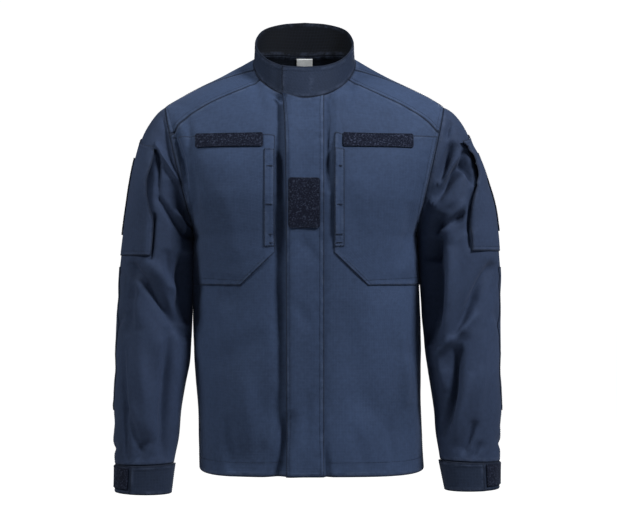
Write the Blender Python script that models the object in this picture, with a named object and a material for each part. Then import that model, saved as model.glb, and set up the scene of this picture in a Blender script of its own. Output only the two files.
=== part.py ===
"""Uniform field jacket, worn shape, held up at the shoulders by its wearer.

Millimetres inside, metres in the objects. +X is the wearer's left, the front faces -Y, +Z is up.
The origin is on the centre plane, level with the side neck points.

The body of the jacket is one smooth surface. A place on it has two coordinates:
  around  0 centre front, 1 left side, 2 centre back, 3 right side; negative on the right front
  level   0 hem, 1 underarm, 2 shoulder tip, 3 neckline
Between level 1 and 2 the surface stops at the armhole. Each piece is a part of this surface, of a
sleeve or of the collar, with a wall built inwards. What lies on a piece is cut from the same
points and moved out.
"""

import math
from collections import namedtuple

import bpy
import numpy as np

MM = 0.001

# Cloth
WALL = 2.0            # single panels with their seam allowances
DOUBLE = 2.6          # collar, cuffs and flap: two layers
PATCH = 1.6           # pockets, elbow patches
LOOP = 2.0            # loop tape with its pile
SEAM_DRAW = 0.19      # each seam edge is drawn back by this
LIE = 0.3             # clear space under what lies on a panel
CUT_SNAP = 0.35       # a point this near a cut is taken as on it

# Shoulder, armhole and neck
SHOULDER = (239.0, 3.0, -78.0)
SIDE_NECK = (87.0, 8.0, 0.0)
HEM_Z = -696.0
UNDERARM_Z = -290.0
RIDGE_BULGE = 4.0                        # how far the shoulder seam curves up between tip and neck
ARMHOLE_SLOPE = 0.23                     # how far the armhole leans out with height
ARMHOLE_HALF_HEIGHT = (SHOULDER[2] - UNDERARM_Z) / 2
ARMHOLE_HALF_DEPTH = 78.0
SEAM_LEVEL = 1.678                       # where the yoke seam meets the armhole
YOKE_NECK = 0.64                         # around: yoke seam on the neckline
SHOULDER_NECK = 0.85                     # around: shoulder seam on the neckline
# The seam between front and yoke as seen from the front: x, z from the neck to the armhole
YOKE_SEAM = ((75.0, -35.0), (100.0, -49.0), (128.0, -62.0), (170.0, -83.0), (208.0, -109.0), (226.5, -128.5))

SIDE_ROUNDING = 0.22                     # levels over which the side line's corners are rounded

# Half widths of the body at the side seam, hem to underarm
SIDE_LEVELS = (0.0, 0.24, 0.5, 0.75, 1.0)
SIDE_WIDTHS = (192.8, 191.2, 195.2, 194.6, 190.2)

# The body hangs a little towards the wearer's left: side shift at the hem, and how late it starts
LEAN_AT_HEM = 13.0
LEAN_POWER = 2.2
LEAN_FULL_WIDTH = 195.0

BodyRow = namedtuple(
    "BodyRow",
    "level front_y front_z front_reach front_side back_y back_z back_reach back_side"
    " yaw front_pitch back_pitch",
)
# y and z of the centre lines, the reach of each half row's curve from its centre and from its
# side, and the direction in which a row leaves its side, inwards: yaw from straight to the front
# or back, pitch above level, in degrees.
BODY = [
    BodyRow(0.0, -126, -699, 110, 76, 110, -699, 108, 68, 0, -8, 0),
    BodyRow(0.35, -127, -554, 110, 76, 106, -554, 108, 68, 0, 0, 0),
    BodyRow(0.7, -131, -412, 112, 78, 107, -412, 108, 70, 0, 0, 0),
    BodyRow(1.0, -137, -292, 112, 78, 121, -290, 110, 72, 4, 0, 0),
    BodyRow(1.5, -139, -206, 105, 60, 130, -188, 102, 60, 44, 0, 0),
    BodyRow(1.8, -133, -160, 103, 55, 126, -128, 100, 56, 44, 6, 6),
    BodyRow(2.0, -126, -136, 96, 60, 115, -92, 94, 60, 28, 10, 11),
    BodyRow(2.5, -110, -102, 76, 56, 88, -34, 70, 50, 6, -6, 9),
    BodyRow(3.0, -95, -70, 50, 52, 60, 17, 42, 38, 0, -38, 38),
]

CollarRow = namedtuple("CollarRow", "around top_x top_y top_z")
# The top edge of the stand collar, centre front round to centre back on one side.
COLLAR_TOP = [
    CollarRow(0.0, 0, -76, -17),
    CollarRow(0.35, 38, -71, -13),
    CollarRow(0.64, 67, -51, 1),
    CollarRow(0.85, 80, -28, 17),
    CollarRow(1.0, 84.5, -8, 30),
    CollarRow(1.35, 74, 32, 58),
    CollarRow(1.7, 39, 54, 72),
    CollarRow(2.0, 0, 58, 75.5),
]
COLLAR_UNDER_END = 0.10                  # around: hidden end, on the left side under the flap
COLLAR_OVER_X = -37.5                    # free end of the upper layer
COLLAR_LAP = 1.9                         # each layer is set off by this where they lap
COLLAR_LIFT = 0.35                       # the collar stands clear of the neckline by this
OVER_LAP = (3.3, 3.62)                   # around, counted along the band: the upper layer rises here
UNDER_LAP = (0.38, 0.70)                 # and the under layer has sunk before this

SleeveRow = namedtuple(
    "SleeveRow", "name outer_z inner_z outer_l inner_l outer_r inner_r middle_y half_depth"
)
# Rings of the sleeve: outermost and innermost points of the left and right sleeve.
SLEEVE = [
    SleeveRow("armhole", -78, -290, 239.0, 190.2, 239.0, 190.2, 3, 78),
    SleeveRow("cap_1", -89, -295, 255.5, 197.0, 252.0, 193.0, 3, 79),
    SleeveRow("cap_2", -107, -301, 270.5, 199.0, 265.5, 194.6, 2, 80),
    SleeveRow("cap_3", -131, -308, 283.5, 199.6, 278.5, 195.0, 1, 80.5),
    SleeveRow("cap_4", -162, -318, 296.5, 199.0, 287.5, 194.6, 0, 80.5),
    SleeveRow("pocket_1", -200, -332, 311.0, 197.6, 295.5, 193.0, -2, 80.5),
    SleeveRow("pocket_2", -245, -350, 324.0, 197.2, 302.0, 192.6, -4, 80),
    SleeveRow("pocket_3", -295, -374, 331.0, 198.2, 309.5, 192.6, -6, 79),
    SleeveRow("biceps", -345, -404, 334.5, 198.8, 315.0, 192.6, -8, 77),
    SleeveRow("elbow_1", -398, -438, 336.0, 200.8, 318.5, 192.8, -10, 75),
    SleeveRow("elbow_2", -452, -475, 334.6, 204.0, 320.3, 193.2, -12, 72),
    SleeveRow("elbow_3", -505, -515, 334.3, 207.5, 322.0, 196.0, -15, 68),
    SleeveRow("forearm_1", -557, -557, 335.2, 214.0, 324.0, 204.0, -19, 63),
    SleeveRow("forearm_2", -608, -600, 335.8, 220.5, 325.2, 210.0, -24, 57),
    SleeveRow("forearm_3", -652, -645, 334.5, 224.0, 325.0, 213.5, -29, 51),
    SleeveRow("cuff_seam", -688, -686, 332.0, 230.5, 321.8, 221.5, -34, 46),
    SleeveRow("cuff_end", -735, -737, 330.8, 240.5, 321.8, 228.0, -39, 43),
]
CUFF_STATION = len(SLEEVE) - 2
SLEEVE_LENGTH = {"l": 0.988, "r": 0.997}  # of the table's, as each sleeve hangs
END_STATION = len(SLEEVE) - 1

Fold = namedtuple("Fold", "view from_h from_z to_h to_z width depth")
# The largest folds, as seen straight on from a side: h is x (front, back) or y (left, right).
# A minus depth is a trough.
FOLDS = [
    # body front
    Fold("front", -46, -150, -42, -600, 11, -4.0),
    Fold("front", 52, -60, 50, -150, 11, 4.0),
    Fold("front", -60, -650, -130, -690, 24, -6.0),
    Fold("front", -36, -560, -120, -676, 26, -7.0),
    Fold("front", 172, -500, 170, -590, 16, 5.0),
    Fold("front", 110, -400, 190, -370, 18, -4.0),
    Fold("front", -110, -410, -186, -380, 18, -4.0),
    Fold("front", 175, -300, 120, -390, 20, -4.0),
    Fold("front", -60, -470, -170, -520, 22, -3.5),
    Fold("front", 70, -560, 180, -640, 24, -3.5),
    # sleeves, front
    Fold("front", 256, -142, 238, -195, 13, -6.0),
    Fold("front", 268, -150, 234, -235, 13, -5.0),
    Fold("front", 242, -248, 268, -300, 18, -6.0),
    Fold("front", 322, -345, 268, -458, 20, -7.0),
    Fold("front", 268, -458, 240, -530, 16, -6.0),
    Fold("front", 250, -485, 232, -610, 13, -5.5),
    Fold("front", 230, -425, 212, -520, 16, 5.0),
    Fold("front", 300, -520, 250, -640, 20, 4.0),
    Fold("front", -232, -120, -216, -205, 14, -6.0),
    Fold("front", -224, -205, -200, -262, 16, -5.0),
    Fold("front", -276, -385, -224, -468, 20, -7.0),
    Fold("front", -302, -430, -240, -560, 20, -5.0),
    Fold("front", -205, -330, -212, -450, 14, -5.0),
    Fold("front", -296, -590, -240, -640, 18, 4.0),
    # sleeves, outer sides
    Fold("left", -40, -380, 30, -450, 18, -5.0),
    Fold("left", 40, -470, -50, -560, 18, -5.0),
    Fold("left", -50, -610, 20, -660, 16, -4.0),
    Fold("right", -44, -390, 30, -440, 18, -5.0),
    Fold("right", 40, -480, -50, -545, 18, -5.0),
    Fold("right", -56, -600, 16, -650, 16, -4.0),
    # back
    Fold("back", 200, -200, 120, -300, 22, -6.0),
    Fold("back", -200, -205, -116, -310, 22, -6.0),
    Fold("back", 150, -130, 60, -190, 26, -4.0),
    Fold("back", -148, -135, -58, -196, 26, -4.0),
    Fold("back", 30, -380, 20, -640, 30, -4.0),
    Fold("back", -80, -420, -60, -650, 26, -4.0),
    Fold("back", 120, -430, 100, -660, 26, 4.0),
    Fold("back", 300, -400, 240, -470, 20, -6.0),
    Fold("back", -290, -410, -230, -480, 20, -6.0),
    Fold("back", 310, -520, 250, -560, 18, -5.0),
    Fold("back", -300, -530, -240, -580, 18, -5.0),
]
VIEWS = {"front": (0, 1, -1), "back": (0, 1, 1), "left": (1, 0, 1), "right": (1, 0, -1)}
FACING = (0.05, 0.5)                     # how far a wall must face a view to carry its folds
FOLDS_END_AT_NECK = 0.1                  # levels
FOLDS_END_ON_SLEEVE = (1.2, 0.8)         # stations from the armhole and from the cuff

# What lies on the fronts: places seen from the front
FLAP_FREE_X = -30.0
FLAP_SEWN_X = 33.0
FLAP_TOP_GAP = 1.5                       # below the collar seam
NECK_RISE = 82.0                         # length of one level just under the front neckline
FLAP_STAND = 1.6                         # the free edge stands off by this
POCKET_TOP_Z = -133.0
POCKET_BOTTOM_Z = -383.0
POCKET_INNER_X = 49.0
POCKET_CUT_FROM_Z = -328.0               # the cut-off corner starts here on the inner edge
POCKET_CUT_TO_X = 106.0                  # and ends here on the bottom edge
POCKET_SIDE = 0.972                      # around: outer edge, just short of the side seam
HALF_FRONT = 205.0                       # length of one step around, near the side seam
WELT_WIDTH = 17.0
WELT_TOP_Z = -158.0
WELT_BOTTOM_Z = -318.0
TAPE_X = (63.0, 181.0)
TAPE_Z = (-154.0, -131.0)
RANK_X = (-26.0, 26.0)
RANK_Z = (-288.0, -206.0)

# Small label inside the back neck
LABEL_WIDTH = 28.0
LABEL_Z = (-5.0, 13.5)
LABEL_THICK = 1.0

ArmPocket = namedtuple("ArmPocket", "front_x top_z bottom_z loop_top_z loop_bottom_z")
# Sleeve pocket and its loop patch. Its open front edge is upright as seen from the front, front_x
# from the centre plane. The other places are heights at the outer line.
ARM_POCKETS = {
    "left": ArmPocket(279, -125, -325, -158, -291),
    "right": ArmPocket(255, -132, -333, -166, -298),
}
ARM_POCKET_BACK_Y = 70.0
ARM_POCKET_BEHIND_X = 248.0              # behind the outer line the pocket lies beyond this
ARM_POCKET_TURN_Y = (-40.0, 10.0)        # the front edge's rule gives way to that one between these
ARM_POCKET_TOP_FALL = 0.30               # the top edge falls this steeply towards the front
ARM_POCKET_STAND = 7.0                   # how far the open front edge stands off the sleeve
ARM_POCKET_STAND_WIDTH = 45.0            # across, over which it comes back to the sleeve
ARM_POCKET_GAPE = (62.0, 60.0)           # below the top: where it stands off most, and half its length
ARM_LOOP_Y = (-12.0, 62.0)
ELBOW_Y = -34.0
ELBOW_Z = (-596.0, -352.0)
OUTER_HALF_X = 262.0                     # the outer half of a sleeve lies beyond this at the elbow

# Cuff tab and its loop patch, as shares of the way round the cuff from its outer line
CUFF_ROUND = 290.0
TAB_FROM, TAB_TO = 0.19, 0.50
CUFF_LOOP_FROM, CUFF_LOOP_TO = -0.03, 0.175

# How finely the pieces are divided
ARM_FRONT, ARM_YOKE, ARM_BACK = 8, 4, 12
SIDE_ROWS = 10
FRONT_NECK_COLUMNS = 5
YOKE_COLUMNS = 7
BACK_NECK_COLUMNS = 4
RIDGE_ROWS = 2
COLLAR_ROWS = 3
SLEEVE_ROWS = 23
CUFF_ROWS = 2
# Shares of a half hem, from centre front and from the side, whose columns end at the neckline and seam
FRONT_HEM_SHARE = 0.25
BACK_HEM_SHARE = 0.70

Finish = namedtuple("Finish", "name colour roughness")
NAVY = Finish("ripstop_navy", (0.025, 0.040, 0.075, 1), 0.85)
NAVY_DARK = Finish("loop_pile_navy", (0.016, 0.022, 0.045, 1), 0.95)
LABEL = Finish("label_white", (0.72, 0.72, 0.70, 1), 0.8)


# ---------------------------------------------------------------- small curves

def smooth_column(where, places, values):
    """A value read from a table's column, on a smooth curve through its rows."""
    places, values = np.asarray(places, float), np.asarray(values, float)
    slopes = np.gradient(values, places)
    row = np.clip(np.searchsorted(places, where, side="right") - 1, 0, len(places) - 2)
    width = places[row + 1] - places[row]
    u = (where - places[row]) / width
    start, end = values[row], values[row + 1]
    rise_start, rise_end = slopes[row] * width, slopes[row + 1] * width
    return (
        start * (1 + 2 * u) * (1 - u) ** 2
        + rise_start * u * (1 - u) ** 2
        + end * u * u * (3 - 2 * u)
        - rise_end * u * u * (1 - u)
    )


def column(table, key, name, where):
    """One of a table's columns, read at a place between its rows."""
    return smooth_column(where, [getattr(r, key) for r in table], [getattr(r, name) for r in table])


def bezier(a, b, c, d, u):
    u = u[..., None]
    return a * (1 - u) ** 3 + 3 * b * u * (1 - u) ** 2 + 3 * c * u * u * (1 - u) + d * u ** 3


def ease(value, low, high):
    u = np.clip((value - low) / (high - low), 0, 1)
    return u * u * (3 - 2 * u)


def unit(vectors):
    return vectors / np.maximum(np.linalg.norm(vectors, axis=-1, keepdims=True), 1e-9)


# ---------------------------------------------------------------- the body's surface

def lean(points):
    """Shifts the lower body towards the wearer's left, its centre least."""
    drop = np.clip((SHOULDER[2] - points[..., 2]) / (SHOULDER[2] - HEM_Z), 0, 1.1)
    share = np.minimum(np.abs(points[..., 0]) / LEAN_FULL_WIDTH, 1) ** 2
    moved = points.copy()
    moved[..., 0] += LEAN_AT_HEM * drop ** LEAN_POWER * share
    return moved


def armhole(level, back):
    """The armhole of the left side, from the underarm (1) to the shoulder tip (2)."""
    turn = math.pi * (2 - level)
    z = (SHOULDER[2] + UNDERARM_Z) / 2 + ARMHOLE_HALF_HEIGHT * np.cos(turn)
    y = SHOULDER[1] + np.where(back, 1, -1) * ARMHOLE_HALF_DEPTH * np.sin(turn)
    x = SHOULDER[0] + ARMHOLE_SLOPE * (z - SHOULDER[2])
    return np.stack([x, y, z], -1)


def side_line(level, back):
    """Where the half rows of the body end: side seam, armhole, shoulder ridge."""
    seam_z = HEM_Z + (UNDERARM_Z - HEM_Z) * level
    seam_x = smooth_column(np.clip(level, 0, 1), SIDE_LEVELS, SIDE_WIDTHS)
    seam = np.stack([seam_x, np.full_like(seam_x, SHOULDER[1]), seam_z], -1)
    ridge_share = np.clip(level - 2, 0, 1)[..., None]
    ridge = np.array(SHOULDER) + (np.array(SIDE_NECK) - np.array(SHOULDER)) * ridge_share
    ridge[..., 2] += RIDGE_BULGE * np.sin(math.pi * ridge_share[..., 0] ** 0.75)
    arm = armhole(np.clip(level, 1, 2), back)
    level = level[..., None]
    return np.where(level < 1, seam, np.where(level <= 2, arm, ridge))


def soft_side_line(level, back):
    """The side line with its corners rounded: the rows away from the side follow this one."""
    room = np.minimum(1, np.minimum(level, 3 - level) / SIDE_ROUNDING)
    steps = np.linspace(-SIDE_ROUNDING, SIDE_ROUNDING, 5)
    return sum(side_line(level + step * room, back) for step in steps) / len(steps)


def body(around, level, behind=False):
    """Points of the body's surface. At around 1 they are on the front half unless behind."""
    around, level = np.broadcast_arrays(np.asarray(around, float), np.asarray(level, float))
    side = np.where((around < 0) | (around > 2), -1.0, 1.0)
    turn = np.where(around < 0, -around, np.where(around > 2, 4 - around, around))
    back = (turn > 1) | (behind & (turn == 1))

    def read(name):
        return column(BODY, "level", name, level)

    end = side_line(level, back)
    yaw = np.radians(read("yaw"))
    pitch = np.radians(np.where(back, read("back_pitch"), read("front_pitch")))
    reach = np.where(back, read("back_side"), read("front_side"))
    towards = np.where(back, 1.0, -1.0)
    flat = np.cos(pitch)
    way = np.stack([-np.sin(yaw) * flat, towards * np.cos(yaw) * flat, np.sin(pitch)], -1)
    zero = np.zeros_like(level)
    middle_y = np.where(back, read("back_y"), read("front_y"))
    middle_z = np.where(back, read("back_z"), read("front_z"))
    middle = np.stack([zero, middle_y, middle_z], -1)
    handle = np.stack([np.where(back, read("back_reach"), read("front_reach")), middle_y, middle_z], -1)
    share = np.where(back, 2 - turn, turn)
    points = bezier(middle, handle, soft_side_line(level, back) + way * reach[..., None], end, share)
    points[..., 0] *= side
    return lean(points)


def body_facing(around, level, behind=False):
    """Outward directions of the body's surface, from wide differences that stay on one half."""
    around, level = np.broadcast_arrays(np.asarray(around, float), np.asarray(level, float))
    wide, tall = 0.04, 0.04
    beside_armhole = (level > 1) & (level < 2)
    nearest_side = np.where(around < 0, -1.0, np.where(around > 2, 3.0, 1.0))
    inner = np.where(np.abs(around - nearest_side) < 1e-9, behind, around > nearest_side)
    before, after = around - wide, around + wide
    before = np.where(beside_armhole & inner, np.maximum(before, nearest_side), before)
    after = np.where(beside_armhole & ~inner, np.minimum(after, nearest_side), after)
    on_back = (around > 1) & (around < 3) | behind
    across = body(after, level, on_back) - body(before, level, on_back)
    low, high = np.clip(level - tall, 0, 3), np.clip(level + tall, 0, 3)
    up = body(around, high, on_back) - body(around, low, on_back)
    return unit(np.cross(across, up))


def armhole_wall(level, back, side):
    """The direction of the wall's edge in an armhole seam, shared by body and sleeve."""
    turn = math.pi * (2 - level)
    tilt = unit(np.array([ARMHOLE_SLOPE, 0, 1.0]))
    outward = (
        np.cos(turn)[..., None] * tilt / ARMHOLE_HALF_HEIGHT
        + (np.where(back, 1, -1) * np.sin(turn))[..., None] * np.array([0, 1.0, 0]) / ARMHOLE_HALF_DEPTH
    )
    way = unit(unit(outward) + np.array([1.0, 0, 0]))
    way[..., 0] *= side
    return way


def fold_depth(points, facing):
    """How far the large folds move each point along its facing."""
    moved = np.zeros(len(points))
    for fold in FOLDS:
        across, along, sign = VIEWS[fold.view]
        seen = points[:, [across, 2]]
        start = np.array([fold.from_h, fold.from_z])
        run = np.array([fold.to_h, fold.to_z]) - start
        share = np.clip((seen - start) @ run / (run @ run), 0, 1)
        distance = np.linalg.norm(seen - start - share[:, None] * run, axis=1)
        taper = (4 * share * (1 - share)) ** 0.6
        shown = ease(sign * facing[:, along], *FACING)
        moved += fold.depth * np.exp(-(distance / fold.width) ** 2) * taper * shown
    return moved


# ---------------------------------------------------------------- sheets: open meshes of a surface

class Sheet:
    """An open triangle mesh of a piece's outside, with the wall's direction at each point."""

    def __init__(self, points, facing, triangles, places):
        self.points = points
        self.facing = facing
        self.triangles = triangles
        self.places = places

    def joined(self, other):
        """Both sheets as one, where they share the points of a seam."""
        points = np.vstack([self.points, other.points])
        keys, first, back = np.unique(np.round(points, 3), axis=0, return_index=True, return_inverse=True)
        triangles = np.vstack([self.triangles, other.triangles + len(self.points)])
        facing = np.vstack([self.facing, other.facing])
        places = np.vstack([self.places, other.places])
        return Sheet(points[first], facing[first], back.ravel()[triangles], places[first])

    def cut(self, *rules):
        """The part where each rule, a function of the sheet, is above zero."""
        sheet = self
        for rule in rules:
            sheet = sheet._cut_once(rule(sheet))
        return sheet

    def _cut_once(self, height):
        height = np.where(np.abs(height) < CUT_SNAP, 0.0, height)
        rows = [self.points, self.facing, self.places]
        made = [[] for _ in rows]
        cut_edges = {}

        def crossing(a, b):
            key = (min(a, b), max(a, b))
            if key not in cut_edges:
                low, high = key
                share = height[low] / (height[low] - height[high])
                for store, values in zip(made, rows):
                    store.append(values[low] + (values[high] - values[low]) * share)
                cut_edges[key] = len(self.points) + len(cut_edges)
            return cut_edges[key]

        triangles = []
        for triangle in self.triangles:
            ring = []
            for a, b in zip(triangle, np.roll(triangle, -1)):
                if height[a] >= 0:
                    ring.append(int(a))
                if height[a] * height[b] < 0:
                    ring.append(crossing(int(a), int(b)))
            inside = any(height[a] > 0 for a in triangle)
            if inside and len(ring) > 2:
                triangles += [(ring[0], ring[i], ring[i + 1]) for i in range(1, len(ring) - 1)]
        filled = [np.vstack([values, *store]) for values, store in zip(rows, made)]
        used, triangles = np.unique(np.array(triangles), return_inverse=True)
        points, facing, places = (values[used] for values in filled)
        return Sheet(points, unit(facing), triangles.reshape(-1, 3), places)

    def moved_out(self, distance):
        """A copy moved along the facing, by one distance or one for each point."""
        step = np.broadcast_to(np.asarray(distance, float), (len(self.points),))[:, None]
        return Sheet(self.points + self.facing * step, self.facing, self.triangles, self.places)

    def border_edges(self):
        """The edges with a face on one side only, in the order of that face."""
        edges = np.vstack([self.triangles[:, [i, (i + 1) % 3]] for i in range(3)])
        known = {tuple(e) for e in edges}
        return np.array([e for e in edges if (e[1], e[0]) not in known])

    def drawn_in(self, distance=SEAM_DRAW):
        """A copy whose edges are drawn back into the sheet, for the clear line at a seam."""
        pull = np.zeros_like(self.points)
        middle = {}
        for triangle in self.triangles:
            for i in range(3):
                middle[(triangle[i], triangle[(i + 1) % 3])] = triangle[(i + 2) % 3]
        for a, b in self.border_edges():
            along = unit(self.points[b] - self.points[a])
            inward = self.points[middle[(a, b)]] - self.points[a]
            inward = unit(inward - along * (inward @ along))
            for corner in (a, b):
                have = pull[corner]
                if have.any():
                    both = have + inward
                    pull[corner] = both * (2 / max(both @ both, 1.0))
                else:
                    pull[corner] = inward
        return Sheet(self.points + pull * distance, self.facing, self.triangles, self.places)


def grid_sheet(grids, surface, facing):
    """A sheet from grids of places, whose equal places become one point."""
    places = np.vstack([g.reshape(-1, g.shape[-1]) for g in grids])
    _, first, same = np.unique(np.round(places, 7), axis=0, return_index=True, return_inverse=True)
    same = same.ravel()
    places = places[first]
    points, walls = surface(places), facing(places)

    def length(a, b):
        return np.linalg.norm(points[a] - points[b])

    triangles, offset = [], 0
    for grid in grids:
        rows, columns = grid.shape[:2]
        index = same[offset:offset + rows * columns].reshape(rows, columns)
        offset += rows * columns
        for i in range(rows - 1):
            for j in range(columns - 1):
                a, b = index[i, j], index[i, j + 1]
                c, d = index[i + 1, j + 1], index[i + 1, j]
                halves = ((a, b, c), (a, c, d)) if length(a, c) <= length(b, d) else ((a, b, d), (b, c, d))
                triangles += [half for half in halves if len(set(half)) == 3]
    triangles = np.array(triangles)
    corners = points[triangles]
    turns = np.cross(corners[:, 1] - corners[:, 0], corners[:, 2] - corners[:, 0])
    if (turns * walls[triangles[:, 0]]).sum() < 0:
        triangles = triangles[:, ::-1]
    return Sheet(points, walls, triangles, places)


# ---------------------------------------------------------------- solids

def finish_material(finish):
    material = bpy.data.materials.get(finish.name)
    if material is None:
        material = bpy.data.materials.new(finish.name)
        material.use_nodes = True
        shader = material.node_tree.nodes["Principled BSDF"]
        shader.inputs["Base Color"].default_value = finish.colour
        shader.inputs["Roughness"].default_value = finish.roughness
        shader.inputs["Metallic"].default_value = 0.0
    return material


def solid(name, outside, thickness, finish, collection):
    """A closed wall: the sheet, a copy of it one thickness inwards, and strips round the edges."""
    inside = outside.points - outside.facing * thickness
    count = len(outside.points)
    faces = [tuple(t) for t in outside.triangles]
    faces += [tuple(t[::-1] + count) for t in outside.triangles]
    for a, b in outside.border_edges():
        faces += [(b, a, a + count), (b, a + count, b + count)]
    mesh = bpy.data.meshes.new(name)
    points = np.vstack([outside.points, inside]) * MM
    mesh.from_pydata([tuple(p) for p in points], [], [tuple(int(i) for i in f) for f in faces])
    mesh.validate()
    mesh.shade_smooth()
    piece = bpy.data.objects.new(name, mesh)
    mesh.materials.append(finish_material(finish))
    collection.objects.link(piece)
    return piece


# ---------------------------------------------------------------- the body's pieces

def find_place(x, z):
    """The place on the left front whose points show at x, z from the front."""
    x, z = np.broadcast_arrays(np.asarray(x, float), np.asarray(z, float))
    around = np.full(x.shape, 0.4)
    level = np.clip((z - HEM_Z) / (UNDERARM_Z - HEM_Z), 0.02, 2.9)
    step = 1e-4
    for _ in range(40):
        here = body(around, level)
        miss = np.stack([x - here[..., 0], z - here[..., 2]], -1)
        by_around = (body(around + step, level) - here)[..., [0, 2]] / step
        by_level = (body(around, level + step) - here)[..., [0, 2]] / step
        size = by_around[..., 0] * by_level[..., 1] - by_around[..., 1] * by_level[..., 0]
        turn = (miss[..., 0] * by_level[..., 1] - miss[..., 1] * by_level[..., 0]) / size
        rise = (by_around[..., 0] * miss[..., 1] - by_around[..., 1] * miss[..., 0]) / size
        around = np.clip(around + np.clip(turn, -0.15, 0.15), 0.0, 0.995)
        level = np.clip(level + np.clip(rise, -0.2, 0.2), 0.0, 2.999)
    return around, level


def yoke_seam(share):
    """The seam between front and yoke, as places from the neckline to the armhole."""
    line_x, line_z = np.array(YOKE_SEAM).T
    x = line_x[0] + (line_x[-1] - line_x[0]) * share
    turn, level = find_place(x, smooth_column(x, line_x, line_z))
    turn = np.where(share <= 0, YOKE_NECK, np.where(share >= 1, 1.0, turn))
    level = np.where(share <= 0, 3.0, np.where(share >= 1, SEAM_LEVEL, level))
    return np.stack([turn, level], -1)


def body_sheet(grids, behind=False):
    """A sheet of the body with its folds, which end at the armholes and the neckline."""
    def surface(places):
        points = body(places[:, 0], places[:, 1], behind)
        walls = body_facing(places[:, 0], places[:, 1], behind)
        at_side = np.abs(np.abs(places[:, 0] - 1) % 2) < 1e-9
        free = np.where(at_side & (places[:, 1] >= 1), 0.0, 1.0)
        free *= ease(3 - places[:, 1], 0.0, FOLDS_END_AT_NECK)
        return points + walls * (fold_depth(points, walls) * free)[:, None]

    def facing(places):
        walls = body_facing(places[:, 0], places[:, 1], behind)
        arm_side = np.where((places[:, 0] < 0) | (places[:, 0] > 2), -1.0, 1.0)
        at_side = (np.abs(np.abs(places[:, 0] - 1) % 2) < 1e-9) & (places[:, 1] > 1 - 1e-9)
        at_armhole = at_side & (places[:, 1] < 2 + 1e-9)
        shared = armhole_wall(places[:, 1], behind, arm_side)
        return np.where(at_armhole[:, None], shared, walls)

    return grid_sheet(grids, surface, facing)


def front_grid(side):
    """Places of a front: columns from the centre to the side, rows from the hem up."""
    neck = np.linspace(0, 1, FRONT_NECK_COLUMNS + 1)[:-1]
    seam = np.linspace(0, 1, YOKE_COLUMNS + 1)
    seam_places = yoke_seam(seam)
    top_turn = np.concatenate([neck * YOKE_NECK, seam_places[:, 0]])
    top_level = np.concatenate([np.full(len(neck), 3.0), seam_places[:, 1]])
    hem_turn = np.concatenate([neck * FRONT_HEM_SHARE, FRONT_HEM_SHARE + seam * (1 - FRONT_HEM_SHARE)])
    rows = np.concatenate([
        np.linspace(0, 1, SIDE_ROWS + 1)[:-1],
        np.linspace(1, SEAM_LEVEL, ARM_FRONT + 1),
    ]) / SEAM_LEVEL
    level = rows[:, None] * top_level[None]
    turn = hem_turn[None] + (top_turn - hem_turn)[None] * rows[:, None] ** 3
    return np.stack([side * turn, level], -1)


def yoke_grid(side):
    """Places of a front yoke: columns from the neck to the armhole, rows up to the shoulder seam."""
    across = np.linspace(0, 1, YOKE_COLUMNS + 1)
    bottom = yoke_seam(across)
    top = np.stack([SHOULDER_NECK + (1 - SHOULDER_NECK) * across, 3 - across], -1)
    rows = np.linspace(0, 1, ARM_YOKE + 1)[:, None, None]
    grid = bottom[None] + (top - bottom)[None] * rows
    grid[..., 0] *= side
    return grid


def back_grids():
    """Places of the back: a main grid up to the ridge, and on each side a strip over the ridge."""
    seam = np.linspace(0, 1, YOKE_COLUMNS + 1)
    neck = np.linspace(0, 1, BACK_NECK_COLUMNS + 1)[1:]
    top_turn = np.concatenate([np.ones(len(seam)), 1 + neck])
    top_level = np.concatenate([2 + seam, np.full(len(neck), 3.0)])
    hem_turn = 1 + np.concatenate([seam * BACK_HEM_SHARE, BACK_HEM_SHARE + neck * (1 - BACK_HEM_SHARE)])
    rows = np.concatenate([
        np.linspace(0, 1, SIDE_ROWS + 1)[:-1],
        np.linspace(1, 2, ARM_BACK + 1),
    ]) / 2
    level = rows[:, None] * top_level[None]
    turn = hem_turn[None] + (top_turn - hem_turn)[None] * rows[:, None] ** 3
    left = np.stack([turn, level], -1)
    right = left[:, ::-1].copy()
    right[..., 0] = 4 - right[..., 0]
    over = np.linspace(0, 1, RIDGE_ROWS + 1)[:, None]
    strip_turn = 1 - over * (1 - SHOULDER_NECK) * seam[None]
    strip = np.stack([strip_turn, np.broadcast_to(2 + seam, strip_turn.shape)], -1)
    other_strip = strip[:, ::-1].copy()
    other_strip[..., 0] = 4 - other_strip[..., 0]
    return [left, right, strip, other_strip]


def neck_places():
    """The samples of the neckline that fronts, yokes and back share, centre front to centre back."""
    return np.concatenate([
        np.linspace(0, YOKE_NECK, FRONT_NECK_COLUMNS + 1),
        np.linspace(YOKE_NECK, SHOULDER_NECK, ARM_YOKE + 1)[1:],
        np.linspace(SHOULDER_NECK, 1, RIDGE_ROWS + 1)[1:],
        np.linspace(1, 2, BACK_NECK_COLUMNS + 1)[1:],
    ])


# ---------------------------------------------------------------- collar

def collar_point(turn, height):
    """A point of the collar's band on the left half; height 0 at the seam, 1 at the top edge."""
    bottom = body(turn, np.full_like(turn, 3.0))
    keys = [r.around for r in COLLAR_TOP]
    top = np.stack([smooth_column(turn, keys, [getattr(r, n) for r in COLLAR_TOP])
                    for n in ("top_x", "top_y", "top_z")], -1)
    return bottom + (top - bottom) * height[..., None]


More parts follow.
